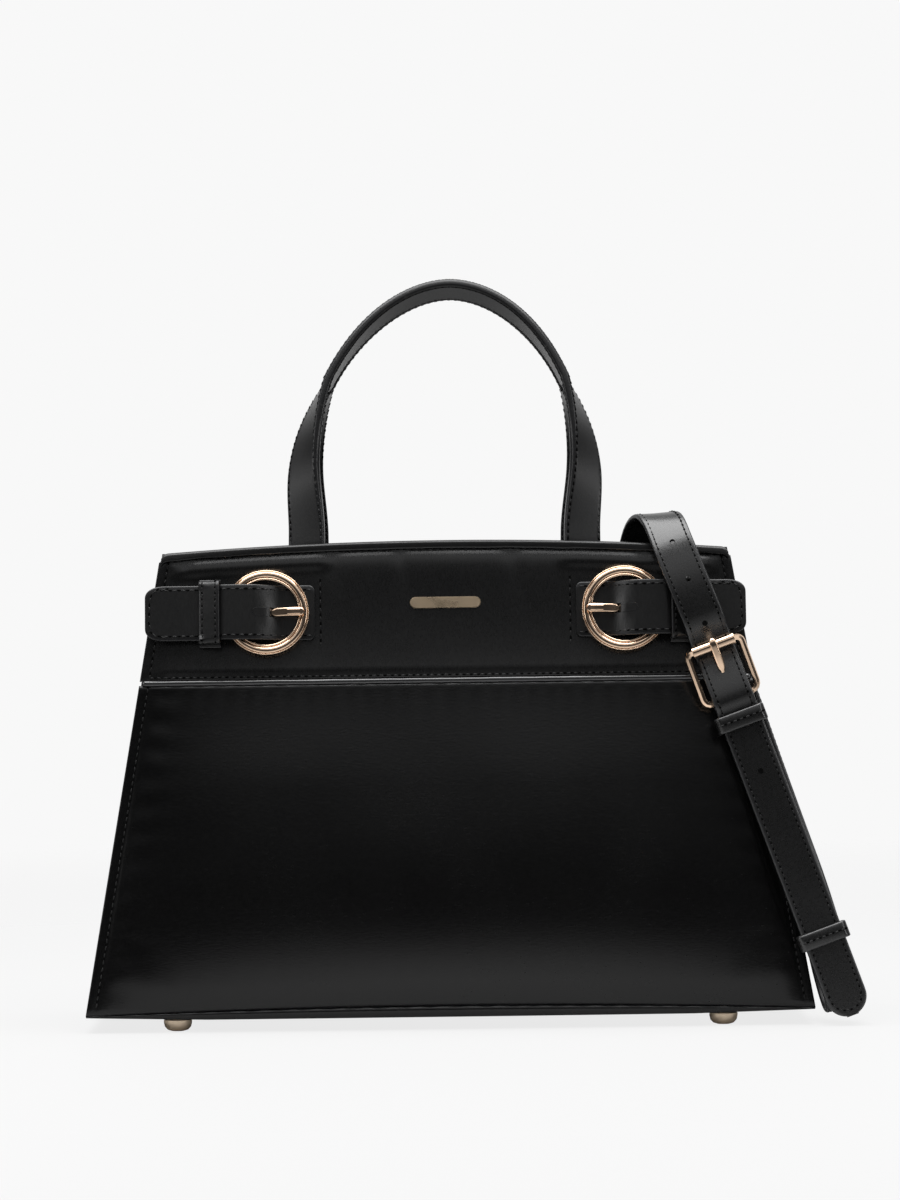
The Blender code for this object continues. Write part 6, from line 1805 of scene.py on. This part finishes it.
# %% Metal
SHARP_OVER = math.radians(38)
polish_tree, given, end = new_group(
    "polish",
    [("Geometry", GEOMETRY, None), ("Sharp over", FLOAT, SHARP_OVER)],
    [("Geometry", GEOMETRY)],
    "GeometryNodeTree",
)
merge_inputs = {"Geometry": given["Geometry"], "Distance": 0.000005}
merged = add_node(polish_tree, "GeometryNodeMergeByDistance", merge_inputs)
angle = add_node(polish_tree, "GeometryNodeInputMeshEdgeAngle")
sharp = add_node(
    polish_tree,
    "FunctionNodeCompare",
    {0: angle.outputs[0], 1: given["Sharp over"]},
    data_type="FLOAT",
    operation="GREATER_THAN",
)
smooth_inputs = {0: merged.outputs[0], "Shade Smooth": True}
faces_smooth = add_node(polish_tree, "GeometryNodeSetShadeSmooth", smooth_inputs)
edges_sharp = add_node(
    polish_tree,
    "GeometryNodeSetShadeSmooth",
    {0: faces_smooth.outputs[0], "Selection": sharp.outputs[0], "Shade Smooth": False},
    domain="EDGE",
)
polish_tree.links.new(edges_sharp.outputs[0], end.inputs[0])

METAL_NODES = ["name_plate", "snap_socket", "snap_stud", "roller_buckle_frame", "buckle_roller"]
for word, _ in SIDES:
    METAL_NODES += [f"{word}_{part}" for part in ("dring", "hook", "hook_gate", "swivel_eye")]
    METAL_NODES += [f"front_{word}_foot", f"back_{word}_foot"]
# The feet take the lighter gold with painted light.
FINISHES = {"foot": LIT_SATIN_GOLD, "board": BOARD}
FINISHES.update(dict.fromkeys(("plate", "socket", "stud"), BRUSHED_GOLD))
for name in METAL_NODES + ["base_board"]:
    node = frame["nodes"][name]
    node.data.materials.clear()
    node.data.materials.append(FINISHES.get(name.split("_")[-1], GOLD))
    polish = node.modifiers.new("polish", "NODES")
    polish.node_group = polish_tree
print(len(METAL_NODES), "metal pieces polished")

# %% [markdown]
# ## Studio
# A wide pale floor and a white surround, as in a product shot. The surround is white only to
# the camera; the fittings and the patent cord mirror a dimmer room with a few soft boxes, so
# their shapes show. In reflections the floor is grey with a painted pool of light close round
# the bag. The floor fades out far behind the bag, so no horizon is seen.

# %% Studio
WHITE = 0.939
FLOOR_Z = -0.0051
GLOW_SHARE = 0.85


def floor_material():
    material, tree, shader = new_material("studio floor")
    place = coordinates(tree)
    far = add_node(tree, "ShaderNodeVectorMath", {0: place}, operation="LENGTH").outputs["Value"]
    fade = remap(tree, far, 0.45, 1.5)
    seen = add_node(tree, "ShaderNodeLightPath").outputs["Is Camera Ray"]
    # For reflected rays the floor's tone is a painted pool of light: 0.58 within 0.1 m of the middle, falling
    # to 0.20 beyond 0.38 m.
    sheet = remap(tree, far, 0.10, 0.38, 0.58, 0.20)
    light_pool_tone = add_node(tree, "ShaderNodeCombineColor", {"Red": sheet, "Green": sheet, "Blue": sheet})
    tone = mix_colours(tree, seen, light_pool_tone.outputs[0], (0.53, 0.53, 0.53, 1))
    set_inputs(tree, shader, {"Base Color": tone, "Roughness": 0.6, "Specular IOR Level": 0.2})
    glow = add_node(tree, "ShaderNodeEmission", {"Color": (WHITE, WHITE, WHITE, 1)})
    lit_share = math_node(tree, "MULTIPLY", seen, GLOW_SHARE)
    lit = add_node(tree, "ShaderNodeMixShader", {0: lit_share, 1: shader.outputs[0], 2: glow.outputs[0]})
    clear = add_node(tree, "ShaderNodeBsdfTransparent")
    mix = add_node(tree, "ShaderNodeMixShader", {0: fade, 1: lit.outputs[0], 2: clear.outputs[0]})
    tree.links.new(mix.outputs[0], tree.nodes["Material Output"].inputs["Surface"])
    return material


FLOOR_REACH = 4.0
floor_mesh = bpy.data.meshes.new("studio_floor")
floor_corners = [(FLOOR_REACH * x, FLOOR_REACH * y, FLOOR_Z) for x, y in ((-1, -1), (1, -1), (1, 1), (-1, 1))]
floor_mesh.from_pydata(floor_corners, [], [(0, 1, 2, 3)])
floor_mesh.materials.append(floor_material())
new_object("studio_floor", floor_mesh)

world = bpy.data.worlds.new("studio")
bpy.context.scene.world = world
world.use_nodes = True
tree = world.node_tree
background = tree.nodes["Background"]
rays = add_node(tree, "ShaderNodeLightPath")
towards = add_node(tree, "ShaderNodeSeparateXYZ", {0: coordinates(tree, "Generated")})
behind = remap(tree, towards.outputs["Y"], 0.35, 0.85)
mirrored = math_node(tree, "MULTIPLY", rays.outputs["Is Glossy Ray"], behind)
seen = math_node(tree, "ADD", rays.outputs["Is Camera Ray"], rays.outputs["Is Transmission Ray"], clamp=True)
seen = math_node(tree, "ADD", seen, mirrored, clamp=True)
overhead = remap(tree, towards.outputs["Z"], 0.24, 0.56, 0.04, 0.40)
room = add_node(tree, "ShaderNodeBackground", {"Color": (0.97, 0.98, 1.0, 1), "Strength": overhead})
set_inputs(tree, background, {"Color": (WHITE, WHITE, WHITE, 1), "Strength": 1.0})
mix = add_node(tree, "ShaderNodeMixShader", {0: seen, 1: room.outputs[0], 2: background.outputs[0]})
tree.links.new(mix.outputs[0], tree.nodes["World Output"].inputs["Surface"])


def soft_box(name, place, aim, width, height, power):
    data = bpy.data.lights.new(name, "AREA")
    data.shape = "RECTANGLE"
    data.size, data.size_y = width, height
    data.energy = power
    obj = new_object(name, data)
    obj.location = place
    obj.rotation_euler = (Vector(aim) - Vector(place)).to_track_quat("-Z", "Y").to_euler()


AIM = (0, 0, 0.12)
soft_box("left_box", (-1.4, -0.6, 0.6), AIM, 0.30, 1.3, 4.5)
soft_box("right_box", (1.4, -0.6, 0.6), AIM, 0.30, 1.3, 4.5)
soft_box("top_box", (0, -0.25, 1.6), (0, -0.15, 0), 2.0, 1.4, 52)
soft_box("front_box", (0, -1.4, 0.95), AIM, 1.4, 0.40, 0.9)
bpy.context.scene.view_settings.view_transform = "Standard"
print("studio ready")
